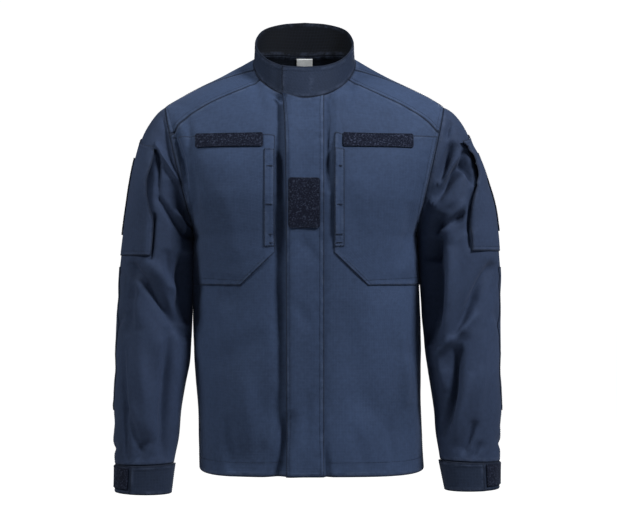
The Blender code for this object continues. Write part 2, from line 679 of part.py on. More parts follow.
def collar_grid():
    """Places along the band, under end to upper end; the first number falls all the way."""
    half = neck_places()
    over_end = find_collar_turn(-COLLAR_OVER_X)
    under = [COLLAR_UNDER_END, COLLAR_UNDER_END / 2]
    first = [-t for t in half]
    second = [-(4 - t) for t in half[::-1][1:]]
    last = [-4 - over_end * s for s in (0.5, 1.0)]
    run = np.array(under + first + second + last)
    heights = np.linspace(0, 1, COLLAR_ROWS + 1)
    return np.stack(np.broadcast_arrays(run[None, :], heights[:, None]), -1)


def find_collar_turn(x):
    """Where the neckline is x from the centre plane, on its front."""
    turns = np.linspace(0, 0.6, 200)
    line = body(turns, np.full_like(turns, 3.0))
    return float(np.interp(x, line[:, 0], turns))


def collar_sheet():
    def on_band(run, height):
        run = np.asarray(run, float)
        wrapped = np.where(run < -2, run + 4, run)
        side = np.where(wrapped < 0, -1.0, 1.0)
        points = collar_point(np.abs(wrapped), height)
        points[..., 0] = np.abs(points[..., 0]) * side * np.where(np.abs(wrapped) < 1e-9, 0, 1)
        return points

    def band_facing(run, height):
        step = 0.05
        along = on_band(run - step, height) - on_band(run + step, height)
        up = on_band(run, np.ones_like(run)) - on_band(run, np.zeros_like(run))
        return unit(np.cross(up, along))

    def facing(places):
        return band_facing(places[:, 0], places[:, 1])

    def surface(places):
        run, height = places[:, 0], places[:, 1]
        points = on_band(run, height)
        walls = band_facing(run, height)
        up = unit(on_band(run, np.ones_like(run)) - on_band(run, np.zeros_like(run)))
        lap = COLLAR_LAP * (ease(-run, *OVER_LAP) - ease(run, -UNDER_LAP[1], -UNDER_LAP[0]))
        return points + walls * lap[:, None] + up * (COLLAR_LIFT * (1 - height))[:, None]

    return grid_sheet([collar_grid()], surface, facing)


# ---------------------------------------------------------------- sleeves

def arm_turns():
    """Angles round a sleeve from the shoulder tip over the back to the underarm and the front."""
    back = math.pi * (2 - np.linspace(2, 1, ARM_BACK + 1))
    front = math.pi * (2 - np.linspace(1, SEAM_LEVEL, ARM_FRONT + 1))[1:]
    yoke = math.pi * (2 - np.linspace(SEAM_LEVEL, 2, ARM_YOKE + 1))[1:]
    return np.concatenate([back, 2 * math.pi - front, 2 * math.pi - yoke])


def sleeve(turn, station, side):
    """Points of a sleeve. Turn 0 is its outer line, a quarter its back, a half its inner line."""
    suffix = "l" if side > 0 else "r"
    marks = np.arange(len(SLEEVE))

    def read(name):
        return smooth_column(station, marks, [getattr(r, name) for r in SLEEVE])

    def height(name):
        return SHOULDER[2] + (read(name) - SHOULDER[2]) * SLEEVE_LENGTH[suffix]

    outer = np.stack([read("outer_" + suffix), height("outer_z")], -1)
    inner = np.stack([read("inner_" + suffix), height("inner_z")], -1)
    middle, reach = (outer + inner) / 2, (outer - inner) / 2
    spot = middle + reach * np.cos(turn)[..., None]
    y = read("middle_y") + read("half_depth") * np.sin(turn)
    points = np.stack([side * spot[..., 0], y, spot[..., 1]], -1)
    level = 2 - np.where(turn > math.pi, 2 * math.pi - turn, turn) / math.pi
    seam = armhole(level, turn < math.pi)
    seam[..., 0] *= side
    near = (1 - np.clip(station, 0, 1))[..., None]
    return points + (lean(seam) - points) * near ** 2


def sleeve_facing(turn, station, side):
    turn, station = np.broadcast_arrays(turn, station)
    around = sleeve(turn + 0.1, station, side) - sleeve(turn - 0.1, station, side)
    down = sleeve(turn, np.clip(station + 0.35, 0, END_STATION), side)
    down = down - sleeve(turn, np.clip(station - 0.35, 0, END_STATION), side)
    return unit(np.cross(down, around)) * side


def sleeve_sheet(side, from_station, to_station, rows):
    turns = arm_turns()
    stations = np.linspace(from_station, to_station, rows + 1)
    grid = np.stack(np.broadcast_arrays(turns[None, :] % (2 * math.pi), stations[:, None]), -1)

    def walls(places):
        return sleeve_facing(places[:, 0], places[:, 1], side)

    def surface(places):
        points, facing = sleeve(places[:, 0], places[:, 1], side), walls(places)
        station = places[:, 1]
        free = ease(station, 0, FOLDS_END_ON_SLEEVE[0])
        free *= ease(CUFF_STATION - station, 0, FOLDS_END_ON_SLEEVE[1])
        return points + facing * (fold_depth(points, facing) * free)[:, None]

    def facing(places):
        turn, station = places[:, 0], places[:, 1]
        level = 2 - np.where(turn > math.pi, 2 * math.pi - turn, turn) / math.pi
        shared = armhole_wall(level, turn < math.pi, side)
        return np.where((station < 1e-9)[:, None], shared, walls(places))

    return grid_sheet([grid], surface, facing)


def from_pocket_front(sheet, side, spec):
    """How far each point lies behind the sleeve pocket's open front edge."""
    x, y = side * sheet.points[:, 0], sheet.points[:, 1]
    limit = spec.front_x + (ARM_POCKET_BEHIND_X - spec.front_x) * ease(y, *ARM_POCKET_TURN_Y)
    return x - limit


def pocket_stand(sheet, side, spec):
    """How far the sleeve pocket stands off: most at the upper part of its open front edge."""
    below_top, half_length = ARM_POCKET_GAPE
    to_edge = 1 - ease(from_pocket_front(sheet, side, spec), 0, ARM_POCKET_STAND_WIDTH)
    off_middle = (spec.top_z - below_top - sheet.points[:, 2]) / half_length
    tall = np.exp(-off_middle ** 2)
    ahead = 1 - ease(sheet.points[:, 1], *ARM_POCKET_TURN_Y)
    return LIE + ARM_POCKET_STAND * to_edge * tall * ahead


# ---------------------------------------------------------------- the pieces

def across(limit, sign=1):
    """Keeps what lies beyond a place across the front, on the sheet's own side."""
    return lambda sheet: sign * (sheet.points[:, 0] - limit)


def above(limit):
    return lambda sheet: sheet.points[:, 2] - limit


def below(limit):
    return lambda sheet: limit - sheet.points[:, 2]


def behind_of(limit):
    return lambda sheet: sheet.points[:, 1] - limit


def ahead_of(limit):
    return lambda sheet: limit - sheet.points[:, 1]


def outer_half(side):
    return lambda sheet: side * sheet.points[:, 0] - OUTER_HALF_X


def under_collar(sheet):
    """Keeps what lies clear below the collar seam."""
    return (3 - sheet.places[:, 1]) * NECK_RISE - FLAP_TOP_GAP


def make_body(add):
    sheets = {}
    for name, side in (("left", 1), ("right", -1)):
        sheets[name] = body_sheet([front_grid(side)])
        add("front_" + name, sheets[name].drawn_in(), WALL)
        add("yoke_" + name, body_sheet([yoke_grid(side)]).drawn_in(), WALL)
    back = body_sheet(back_grids(), behind=True)
    add("back", back.drawn_in(), WALL)
    label = back.cut(
        across(-LABEL_WIDTH / 2), across(LABEL_WIDTH / 2, -1), behind_of(0.0),
        above(LABEL_Z[0]), below(LABEL_Z[1]),
    )
    add("neck_label", label.moved_out(-(WALL + LIE)), LABEL_THICK, LABEL)
    add("collar", collar_sheet(), DOUBLE)
    return sheets


def make_front_layers(add, sheets):
    for name, side in (("left", 1), ("right", -1)):
        front = sheets[name]

        def before_side_seam(sheet):
            return (POCKET_SIDE - np.abs(sheet.places[:, 0])) * HALF_FRONT

        def corner_cut(sheet, side=side):
            run_x, run_z = POCKET_CUT_TO_X - POCKET_INNER_X, POCKET_BOTTOM_Z - POCKET_CUT_FROM_Z
            x = side * sheet.points[:, 0] - POCKET_INNER_X
            z = sheet.points[:, 2] - POCKET_CUT_FROM_Z
            return (x * -run_z + z * run_x) / math.hypot(run_x, run_z)

        pocket = front.cut(
            across(side * POCKET_INNER_X, side), below(POCKET_TOP_Z), above(POCKET_BOTTOM_Z),
            before_side_seam, corner_cut,
        )
        add("chest_pocket_" + name, pocket.moved_out(LIE + PATCH), PATCH)
        welt = front.cut(
            across(side * POCKET_INNER_X, side), across(side * (POCKET_INNER_X + WELT_WIDTH), -side),
            below(WELT_TOP_Z), above(WELT_BOTTOM_Z),
        )
        add("pocket_welt_" + name, welt.moved_out(2 * (LIE + PATCH)), PATCH)
        tape = front.cut(
            across(side * TAPE_X[0], side), across(side * TAPE_X[1], -side),
            below(TAPE_Z[1]), above(TAPE_Z[0]),
        )
        add("name_tape_" + name, tape.moved_out(LIE + PATCH + LIE + LOOP), LOOP, NAVY_DARK)
    both = sheets["left"].joined(sheets["right"])
    flap_base = both.cut(across(FLAP_FREE_X), across(FLAP_SEWN_X, -1), under_collar)
    free = 1 - ease(flap_base.points[:, 0], FLAP_FREE_X, 0.0)
    flap = flap_base.moved_out(LIE + DOUBLE + FLAP_STAND * free)
    add("storm_flap", flap, DOUBLE)
    rank = flap.cut(across(RANK_X[0]), across(RANK_X[1], -1), below(RANK_Z[1]), above(RANK_Z[0]))
    add("rank_loop", rank.moved_out(LIE + LOOP), LOOP, NAVY_DARK)


def make_sleeve(add, name, side):
    arm = sleeve_sheet(side, 0, CUFF_STATION, SLEEVE_ROWS)
    add("sleeve_" + name, arm.drawn_in(), WALL)

    spec = ARM_POCKETS[name]

    def pocket_top(sheet):
        fall = np.maximum(-sheet.points[:, 1], 0) * ARM_POCKET_TOP_FALL
        return spec.top_z - fall - sheet.points[:, 2]

    def pocket_front(sheet):
        return from_pocket_front(sheet, side, spec)

    pocket = arm.cut(above(spec.bottom_z), pocket_top, ahead_of(ARM_POCKET_BACK_Y), pocket_front)
    raised = pocket.moved_out(pocket_stand(pocket, side, spec) + PATCH)
    add("sleeve_pocket_" + name, raised, PATCH)
    patch = raised.cut(
        behind_of(ARM_LOOP_Y[0]), ahead_of(ARM_LOOP_Y[1]), above(spec.loop_bottom_z), below(spec.loop_top_z)
    )
    add("sleeve_loop_" + name, patch.moved_out(LIE + LOOP), LOOP, NAVY_DARK)
    elbow = arm.cut(outer_half(side), behind_of(ELBOW_Y), above(ELBOW_Z[0]), below(ELBOW_Z[1]))
    add("elbow_patch_" + name, elbow.moved_out(LIE + PATCH), PATCH)


def make_cuff(add, name, side):
    band = sleeve_sheet(side, CUFF_STATION, END_STATION, CUFF_ROWS)
    add("cuff_" + name, band.drawn_in(), DOUBLE)
    full = 2 * math.pi

    def stretch(first, last):
        """The part of the cuff between two shares of the way round over the front."""
        def rule(sheet):
            share = (full - sheet.places[:, 0]) / full
            share = np.where(share > 0.5 + last, share - 1, share)
            low, high = share - first, last - share
            return np.minimum(low, high) * CUFF_ROUND
        return rule

    tab = band.cut(stretch(TAB_FROM, TAB_TO))
    add("cuff_tab_" + name, tab.moved_out(LIE + DOUBLE), DOUBLE)
    loop = band.cut(stretch(CUFF_LOOP_FROM, CUFF_LOOP_TO))
    add("cuff_loop_" + name, loop.moved_out(LIE + LOOP), LOOP, NAVY_DARK)


def clear_scene():
    for piece in list(bpy.data.objects):
        bpy.data.objects.remove(piece, do_unlink=True)


def main():
    clear_scene()
    collection = bpy.data.collections.new("uniform_jacket")
    bpy.context.scene.collection.children.link(collection)

    def add(name, outside, thickness, finish=NAVY):
        return solid(name, outside, thickness, finish, collection)

    sheets = make_body(add)
    make_front_layers(add, sheets)
    for name, side in (("left", 1), ("right", -1)):
        make_sleeve(add, name, side)
        make_cuff(add, name, side)


main()
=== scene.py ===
"""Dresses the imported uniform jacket: its cloth, loop tape and sewing, with a floor, light and a camera.

The tables hold millimetres and the meshes metres, in the frame's axes: +X is the wearer's left, the
front faces -Y and +Z is up.

The body of the jacket is one smooth surface, and a place on it has two coordinates:
  around  0 centre front, 1 left side, 2 centre back, 3 right side; negative on the right front
  level   0 hem, 1 underarm, 2 shoulder tip, 3 neckline
Between level 1 and 2 the surface stops at the armhole, where a sleeve's first ring lies. A place on a
sleeve is a turn round it and a station along it. Creases and rumples move the points of these surfaces
in and out, so that what lies on a panel follows it.
"""

import logging
import math
from dataclasses import dataclass, replace
from enum import Enum
from typing import Callable, Iterable, Optional, Sequence

import bpy
import numpy as np
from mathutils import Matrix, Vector, noise
from mathutils.kdtree import KDTree


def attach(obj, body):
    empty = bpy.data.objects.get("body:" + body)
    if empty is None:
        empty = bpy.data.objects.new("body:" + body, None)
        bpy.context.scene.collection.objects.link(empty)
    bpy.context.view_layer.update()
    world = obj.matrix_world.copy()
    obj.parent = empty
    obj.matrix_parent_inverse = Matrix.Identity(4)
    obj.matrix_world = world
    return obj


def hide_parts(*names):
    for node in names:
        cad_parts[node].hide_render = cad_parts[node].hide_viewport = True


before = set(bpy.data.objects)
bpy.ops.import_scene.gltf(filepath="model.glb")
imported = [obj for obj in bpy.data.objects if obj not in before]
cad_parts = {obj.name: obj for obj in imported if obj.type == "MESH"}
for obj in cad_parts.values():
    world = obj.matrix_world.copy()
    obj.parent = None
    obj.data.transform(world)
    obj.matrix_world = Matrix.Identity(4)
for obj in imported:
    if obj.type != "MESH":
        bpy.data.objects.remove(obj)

LOG = logging.getLogger("uniform_jacket")
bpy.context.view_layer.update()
MM = 0.001
ROOT = "root"

Array = np.ndarray
Rule = Callable[[Array], Array]
Span = tuple[float, float]
Spot = tuple[float, float, float]
Colour = tuple[float, float, float, float]
Node = bpy.types.Node
Socket = bpy.types.NodeSocket
Feed = object                            # a socket, a number or a colour


# ---------------------------------------------------------------- named options

class View(Enum):
    """A side from which creases are placed: the axis across it, the axis along it, and its sign."""

    FRONT = (0, 1, -1)
    BACK = (0, 1, 1)
    LEFT = (1, 0, 1)
    RIGHT = (1, 0, -1)


class Side(Enum):
    """The wearer's left or right, as the sign of X."""

    LEFT = 1
    RIGHT = -1

    @property
    def label(self) -> str:
        """The ending of the side's node names."""
        return self.name.lower()


class Edge(Enum):
    """An edge of a grid of points, whose rows run up and whose columns run across."""

    BOTTOM = 0
    TOP = 1
    FIRST = 2
    LAST = 3


# ---------------------------------------------------------------- small curves

def between(low: Array, high: Array, share: Array) -> Array:
    """What lies at a share of the way from low to high."""
    return low + (high - low) * share


def paired(first: Array, second: Array) -> Sequence[Array]:
    """Two coordinates as arrays of one shape."""
    return np.broadcast_arrays(np.asarray(first, float), np.asarray(second, float))


def smooth_column(where: Array, places: Sequence[float], values: Sequence[float]) -> Array:
    """Reads a table's column on a smooth curve through its rows.

    Args:
        where: The places that are asked for.
        places: The place of each row, rising.
        values: The column.

    Returns:
        A value for each place that is asked for.
    """
    places, values = np.asarray(places, float), np.asarray(values, float)
    slopes = np.gradient(values, places)
    row = np.clip(np.searchsorted(places, where, side="right") - 1, 0, len(places) - 2)
    width = places[row + 1] - places[row]
    u = (where - places[row]) / width
    start, end = values[row], values[row + 1]
    rise_start, rise_end = slopes[row] * width, slopes[row + 1] * width
    return (
        start * (1 + 2 * u) * (1 - u) ** 2
        + rise_start * u * (1 - u) ** 2
        + end * u * u * (3 - 2 * u)
        - rise_end * u * u * (1 - u)
    )


def bezier(a: Array, b: Array, c: Array, d: Array, u: Array) -> Array:
    """Points of cubic curves, each with its own four control points and its own share u."""
    u = u[..., None]
    return a * (1 - u) ** 3 + 3 * b * u * (1 - u) ** 2 + 3 * c * u * u * (1 - u) + d * u ** 3


def ease(value: Array, low: float, high: float) -> Array:
    """A smooth step from 0 at low to 1 at high."""
    u = np.clip((value - low) / (high - low), 0, 1)
    return u * u * (3 - 2 * u)


def unit(vectors: Array) -> Array:
    """The vectors at length 1."""
    return vectors / np.maximum(np.linalg.norm(vectors, axis=-1, keepdims=True), 1e-9)


def clustered(count: int, closeness: float = 0.55) -> Array:
    """Shares from 0 to 1 that lie closer together near both ends, where an edge is sewn."""
    u = np.linspace(0, 1, count + 1)
    return u - closeness * np.sin(2 * math.pi * u) / (2 * math.pi)


def rounded_patch(
    across: Span, up: Span, radius: float, rows: int, shares: Array
) -> tuple[Array, Array]:
    """A grid over a patch with round corners.

    Args:
        across: Its ends across.
        up: Its lowest and highest row.
        radius: The corners' radius.
        rows: How many steps lie between the corners.
        shares: The columns, as shares of the way across.

    Returns:
        The grid's places across and up.
    """
    turn = np.radians([0, 25, 50, 72, 90])
    corner_rise, corner_in = radius * (1 - np.cos(turn)), radius * (1 - np.sin(turn))
    (left, right), (low, high) = across, up
    middle = np.linspace(low + radius, high - radius, rows + 1)[1:-1]
    heights = np.concatenate([low + corner_rise, middle, (high - corner_rise)[::-1]])
    insets = np.concatenate([corner_in, np.zeros(len(middle)), corner_in[::-1]])[:, None]
    places = left + insets + (right - left - 2 * insets) * shares
    return places, np.broadcast_to(heights[:, None], places.shape)


@dataclass(frozen=True)
class Search:
    """A search in steps along a rule's slope: its probe, longest step, bounds and number of steps."""

    probe: float
    longest: float
    low: float = -math.inf
    high: float = math.inf
    steps: int = 30

    def solve(self, rule: Rule, wanted: Array, place: Array) -> Array:
        """Where a rule gives the wanted values.

        Args:
            rule: Gives a value for each place.
            wanted: The values.
            place: Places near the wanted ones.

        Returns:
            The places.
        """
        for _ in range(self.steps):
            here = rule(place)
            slope = (rule(place + self.probe) - here) / self.probe
            step = np.clip((wanted - here) / slope, -self.longest, self.longest)
            place = np.clip(place + step, self.low, self.high)
        return place


# ---------------------------------------------------------------- creases

@dataclass(frozen=True)
class SeenLine:
    """A straight line as seen from a side, by its ends across and up."""

    view: View
    from_h: float
    from_z: float
    to_h: float
    to_z: float

    @property
    def start(self) -> Array:
        """Its first end."""
        return np.array([self.from_h, self.from_z])

    @property
    def run(self) -> Array:
        """The way from its first end to its last."""
        return np.array([self.to_h, self.to_z]) - self.start


@dataclass(frozen=True)
class Crease(SeenLine):
    """A soft trough (minus depth) or ridge along a line."""

    width: float
    depth: float
    bow: float = 0.0
    skew: float = 0.0
    taper: float = 0.6

    def moves(self, points: Array, facing: Array) -> Array:
        """How far each point moves along its facing.

        Args:
            points: Points of a surface.
            facing: The outward direction at each point.

        Returns:
            A distance for each point.
        """
        across, along, sign = self.view.value
        run = self.run
        length = float(np.hypot(*run))
        seen = points[:, [across, 2]] - self.start
        share = np.clip(seen @ run / (run @ run), 0, 1)
        off = (seen[:, 0] * run[1] - seen[:, 1] * run[0]) / length
        off = off - self.bow * 4 * share * (1 - share)
        taper = (4 * share * (1 - share)) ** self.taper
        shown = ease(sign * facing[:, along], *FACING)
        if along == 0:
            shown = shown * ease(sign * points[:, 0], *SLEEVE_FROM)
        spread = off / self.width
        return self.depth * np.exp(-spread ** 2) * (1 + self.skew * spread) * taper * shown


@dataclass(frozen=True)
class PuckerRow(SeenLine):
    """Short small creases across a seam, uneven, as thread draws them in."""

    count: int
    reach: float
    depth: float
    seed: int
    places: Span = (0.1, 0.9)            # of the room that each crease has along the seam
    tilts: Span = (-0.35, 0.35)
    reaches: Span = (0.5, 1.0)
    shifts: Span = (-0.3, 0.5)
    depths: Span = (0.4, 1.0)
    widths: Span = (3.5, 7.0)
    signs: Spot = (-1.0, -1.0, 1.0)      # two troughs to a ridge

    def creases(self) -> list[Crease]:
        """The row's creases, placed by its own fixed draw.

        Returns:
            The creases.
        """
        draw = np.random.default_rng(self.seed)
        run = self.run
        across = np.array([-run[1], run[0]]) / np.hypot(*run)
        made = []
        for place in (np.arange(self.count) + draw.uniform(*self.places, self.count)) / self.count:
            middle = self.start + run * place
            tilt = run / np.hypot(*run) * draw.uniform(*self.tilts)
            half = (across + tilt) * self.reach * draw.uniform(*self.reaches)
            shift = across * self.reach * draw.uniform(*self.shifts)
            a, b = middle - half + shift, middle + half + shift
            deep = self.depth * draw.uniform(*self.depths) * draw.choice(self.signs)
            made.append(Crease(self.view, *a, *b, draw.uniform(*self.widths), deep))
        return made


FACING = (0.05, 0.5)                     # how far a wall must face a view to carry its creases
SLEEVE_FROM = (215.0, 250.0)             # across: what is seen from the left or right is a sleeve


# ---------------------------------------------------------------- tables

@dataclass(frozen=True)
class BodyRow:
    """A row of the body: its centre line, how far its curve reaches, and how it leaves the side."""

    level: float
    front_y: float
    front_z: float
    front_reach: float
    front_side: float
    back_y: float
    back_z: float
    back_reach: float
    back_side: float
    yaw: float
    front_pitch: float
    back_pitch: float


BODY = (
    BodyRow(0.0, -126, -699, 110, 76, 110, -699, 108, 68, 0, -8, 0),
    BodyRow(0.35, -127, -554, 110, 76, 106, -554, 108, 68, 0, 0, 0),
    BodyRow(0.7, -131, -412, 112, 78, 107, -412, 108, 70, 0, 0, 0),
    BodyRow(1.0, -137, -292, 112, 78, 121, -290, 110, 72, 4, 0, 0),
    BodyRow(1.5, -139, -206, 105, 60, 130, -188, 102, 60, 44, 0, 0),
    BodyRow(1.8, -133, -160, 103, 55, 126, -128, 100, 56, 44, 6, 6),
    BodyRow(2.0, -126, -136, 96, 60, 115, -92, 94, 60, 28, 10, 11),
    BodyRow(2.5, -110, -102, 76, 56, 88, -34, 70, 50, 6, -6, 9),
    BodyRow(3.0, -95, -70, 50, 52, 60, 17, 42, 38, 0, -38, 38),
)
SIDE_LEVELS = (0.0, 0.24, 0.5, 0.75, 1.0)
SIDE_WIDTHS = (192.8, 191.2, 195.2, 194.6, 190.2)
YOKE_SEAM = ((75.0, -35.0), (100.0, -49.0), (128.0, -62.0), (170.0, -83.0), (208.0, -109.0), (226.5, -128.5))


@dataclass(frozen=True)
class CollarRow:
    """The collar's top edge on one side, at a place on the neckline."""

    around: float
    top_x: float
    top_y: float
    top_z: float


COLLAR_TOP = (
    CollarRow(0.0, 0, -76, -17),
    CollarRow(0.35, 38, -71, -13),
    CollarRow(0.64, 67, -51, 1),
    CollarRow(0.85, 80, -28, 17),
    CollarRow(1.0, 84.5, -8, 30),
    CollarRow(1.35, 74, 32, 58),
    CollarRow(1.7, 39, 54, 72),
    CollarRow(2.0, 0, 58, 75.5),
)


@dataclass(frozen=True)
class SleeveRow:
    """A ring of the sleeve: its outermost and innermost points on each side, and its depth."""

    name: str
    outer_z: float
    inner_z: float
    outer_left: float
    inner_left: float
    outer_right: float
    inner_right: float
    middle_y: float
    half_depth: float


SLEEVE = (
    SleeveRow("armhole", -78, -290, 239.0, 190.2, 239.0, 190.2, 3, 78),
    SleeveRow("cap_1", -89, -295, 255.5, 191.6, 252.0, 189.8, 3, 79),
    SleeveRow("cap_2", -107, -301, 270.5, 191.8, 265.5, 189.0, 2, 80),
    SleeveRow("cap_3", -131, -308, 283.5, 192.0, 278.5, 188.6, 1, 80.5),
    SleeveRow("cap_4", -162, -318, 296.5, 192.0, 287.5, 188.8, 0, 80.5),
    SleeveRow("pocket_1", -200, -332, 311.0, 192.8, 295.5, 189.0, -2, 80.5),
    SleeveRow("pocket_2", -245, -350, 324.0, 195.0, 302.0, 189.6, -4, 80),
    SleeveRow("pocket_3", -295, -374, 331.0, 196.6, 309.5, 190.2, -6, 79),
    SleeveRow("biceps", -345, -404, 334.5, 198.8, 315.0, 191.2, -8, 77),
    SleeveRow("elbow_1", -398, -438, 336.0, 200.8, 318.5, 191.8, -10, 75),
    SleeveRow("elbow_2", -452, -475, 334.6, 204.0, 320.3, 193.2, -12, 72),
    SleeveRow("elbow_3", -505, -515, 334.3, 207.5, 322.0, 196.0, -15, 68),
    SleeveRow("forearm_1", -557, -557, 335.2, 214.0, 324.0, 204.0, -19, 63),
    SleeveRow("forearm_2", -608, -600, 335.8, 220.5, 325.2, 210.0, -24, 57),
    SleeveRow("forearm_3", -652, -645, 334.5, 224.0, 325.0, 213.5, -29, 51),
    SleeveRow("cuff_seam", -688, -686, 332.0, 230.5, 321.8, 221.5, -34, 46),
    SleeveRow("cuff_end", -735, -737, 330.8, 240.5, 321.8, 228.0, -39, 43),
)
CUFF_STATION = len(SLEEVE) - 2
END_STATION = len(SLEEVE) - 1
SLEEVE_LENGTH = {Side.LEFT: 0.988, Side.RIGHT: 0.997}     # of the table's, as each sleeve hangs

# A crease a row: from and to (across, up), width, depth, and where it has them its bow and skew.
MAIN_CREASES = (
    # body front
    (View.FRONT, (
        (-40, -150, -37, -600, 11, -4), (52, -60, 50, -150, 11, 4), (-60, -650, -130, -690, 24, -6),
        (-36, -560, -120, -676, 26, -7), (172, -500, 170, -590, 16, 5), (110, -400, 190, -370, 18, -4),
        (-110, -410, -186, -380, 18, -4), (175, -300, 120, -390, 20, -4),
        (-60, -470, -170, -520, 22, -3.5), (70, -560, 180, -640, 24, -3.5),
    )),
    # sleeves, front
    (View.FRONT, (
        (256, -142, 238, -195, 13, -6), (268, -150, 234, -235, 13, -5), (242, -248, 268, -300, 18, -6),
        (322, -345, 268, -458, 20, -7), (268, -458, 240, -530, 16, -6), (250, -485, 232, -610, 13, -5.5),
        (230, -425, 212, -520, 16, 5), (300, -520, 250, -640, 20, 4), (-232, -120, -216, -205, 14, -6),
        (-224, -205, -200, -262, 16, -5), (-276, -385, -224, -468, 20, -7),
        (-302, -430, -240, -560, 20, -5), (-205, -330, -212, -450, 14, -5),
        (-296, -590, -240, -640, 18, 4),
    )),
    # sleeves, outer sides
    (View.LEFT, (
        (-40, -380, 30, -450, 18, -2.2), (40, -470, -50, -560, 18, -2.2), (-50, -610, 20, -660, 16, -1.8),
    )),
    (View.RIGHT, (
        (-44, -390, 30, -440, 18, -2.2), (40, -480, -50, -545, 18, -2.2), (-56, -600, 16, -650, 16, -1.8),
    )),
    # back
    (View.BACK, (
        (200, -200, 120, -300, 22, -6), (-200, -205, -116, -310, 22, -6), (150, -130, 60, -190, 26, -4),
        (-148, -135, -58, -196, 26, -4), (30, -380, 20, -640, 30, -4), (-80, -420, -60, -650, 26, -4),
        (120, -430, 100, -660, 26, 4), (300, -400, 240, -470, 20, -6), (-290, -410, -230, -480, 20, -6),
        (310, -520, 250, -560, 18, -5), (-300, -530, -240, -580, 18, -5),
    )),
)

FINE_CREASES = (
    # left sleeve, front
    (View.FRONT, (
        (251, -142, 225, -211, 7, -18), (267, -155, 225, -218, 5, 8.8),
        (278, -172, 217, -243, 9, -25, 3), (269, -241, 213, -307, 7, 13.2, -3),
        (269, -261, 225, -290, 6, -15.4), (229, -263, 212, -344, 12, -17.6, 3),
        (244, -317, 234, -482, 11, 15.4, -4), (217, -300, 217, -484, 15, -19.8),
        (229, -344, 225, -459, 9, -7.2), (323, -344, 249, -472, 9, -15, 4), (293, -428, 219, -504, 6, 9),
        (257, -484, 234, -637, 8, -20, -3), (224, -496, 235, -563, 6, 5.4),
        (269, -153, 284, -214, 5, -17.6), (281, -219, 276, -324, 4, -8.8, 1.5),
        (286, -610, 266, -669, 6, -9), (306, -459, 286, -610, 9, 5.4), (249, -105, 240, -138, 5, -6.6),
        (313, -357, 293, -408, 7, 5.4), (279, -529, 249, -647, 7, 5.4), (296, -644, 279, -681, 5, -5.4),
    )),
    # right sleeve, front
    (View.FRONT, (
        (-252, -142, -201, -224, 4, 10.8), (-237, -94, -199, -223, 7, -17, -4),
        (-243, -148, -243, -246, 4, -5.4, 2), (-216, -256, -198, -295, 4, 9),
        (-198, -253, -191, -307, 6, -10.8), (-247, -233, -196, -305, 5, -9.5),
        (-198, -327, -196, -450, 13, -20), (-287, -344, -292, -408, 7, -5.4),
        (-297, -344, -196, -475, 9, -16, -4), (-260, -344, -199, -408, 10, 7.2),
        (-223, -452, -238, -678, 9, -15, 3), (-306, -484, -297, -681, 4, -7.2),
        (-277, -459, -257, -644, 12, 7.2), (-252, -260, -257, -344, 4, -9),
        (-267, -644, -280, -684, 6, -5.4), (-291, -383, -297, -467, 8, -5.4),
        (-230, -324, -223, -383, 8, -7.2), (-301, -577, -274, -664, 6, -5.4),
    )),
    # body, front
    (View.FRONT, (
        (-41, 0, -41, -242, 11, -9), (-40, -159, -37, -473, 14, -6), (-36, -374, -32, -662, 14, -6),
        (-22, -590, -66, -800, 15, -15), (43, -30, 37, -230, 7, -8), (54, -40, 50, -190, 7, 6),
        (-129, -601, -121, -697, 9, -6.2), (-94, -532, -88, -690, 14, 5), (166, -459, 169, -585, 6, 5),
        (32, -640, 46, -760, 5, -8), (-190, -153, -178, -278, 9, -5), (-200, -97, -185, -163, 6, -3.8),
        (178, -242, 164, -354, 10, -3.8), (8, -558, 3, -647, 6, -3.8), (67, -407, 112, -604, 20, -3.8, 6),
        (-165, -407, -145, -525, 10, -3.8), (85, -621, 102, -694, 9, -3.8),
        (138, -604, 151, -687, 8, -3.8), (-136, -219, -113, -344, 16, 3.1),
        (75, -212, 87, -324, 14, -2.5), (-86, -28, -70, -97, 7, -3.8), (85, -34, 69, -90, 6, -3.8),
        (-7, -304, 23, -344, 8, -2.5), (-19, -407, 13, -456, 8, -2.5),
    )),
    # sleeves, outer sides
    (View.LEFT, (
        (-8, -356, 52, -385, 9, -4), (-60, -424, -26, -462, 8, -4), (56, -430, 4, -496, 9, -5),
        (-6, -528, 44, -552, 8, -5), (34, -570, -8, -610, 8, -4), (-62, -640, -6, -668, 7, -4),
    )),
    (View.RIGHT, (
        (-6, -358, 52, -390, 9, -4), (-60, -428, -28, -460, 8, -4), (52, -446, 4, -508, 9, -5),
        (-8, -534, 38, -560, 8, -5), (30, -590, -10, -622, 8, -4), (-60, -650, -8, -674, 7, -4),
    )),
    # back and backs of sleeves
    (View.BACK, (
        (206, -190, 150, -262, 10, -6), (196, -232, 120, -350, 12, -6), (-204, -196, -150, -268, 10, -6),
        (-196, -240, -112, -356, 12, -6), (120, -70, 40, -110, 14, -3), (-122, -72, -44, -116, 14, -3),
        (150, -420, 140, -640, 11, -4), (-140, -440, -134, -660, 11, -4), (60, -470, 54, -680, 13, 4),
        (-30, -520, -34, -684, 12, -4), (248, -150, 228, -250, 10, -5), (-244, -152, -226, -254, 10, -5),
        (318, -380, 250, -424, 10, -7), (320, -440, 240, -500, 11, -6), (310, -480, 262, -560, 9, -5),
        (-306, -390, -240, -430, 10, -7), (-308, -452, -230, -508, 11, -6),
        (-300, -500, -256, -576, 9, -5), (300, -600, 250, -640, 8, -4), (-292, -606, -244, -650, 8, -4),
        (290, -300, 262, -360, 12, -4), (-284, -310, -256, -366, 12, -4),
    )),
)

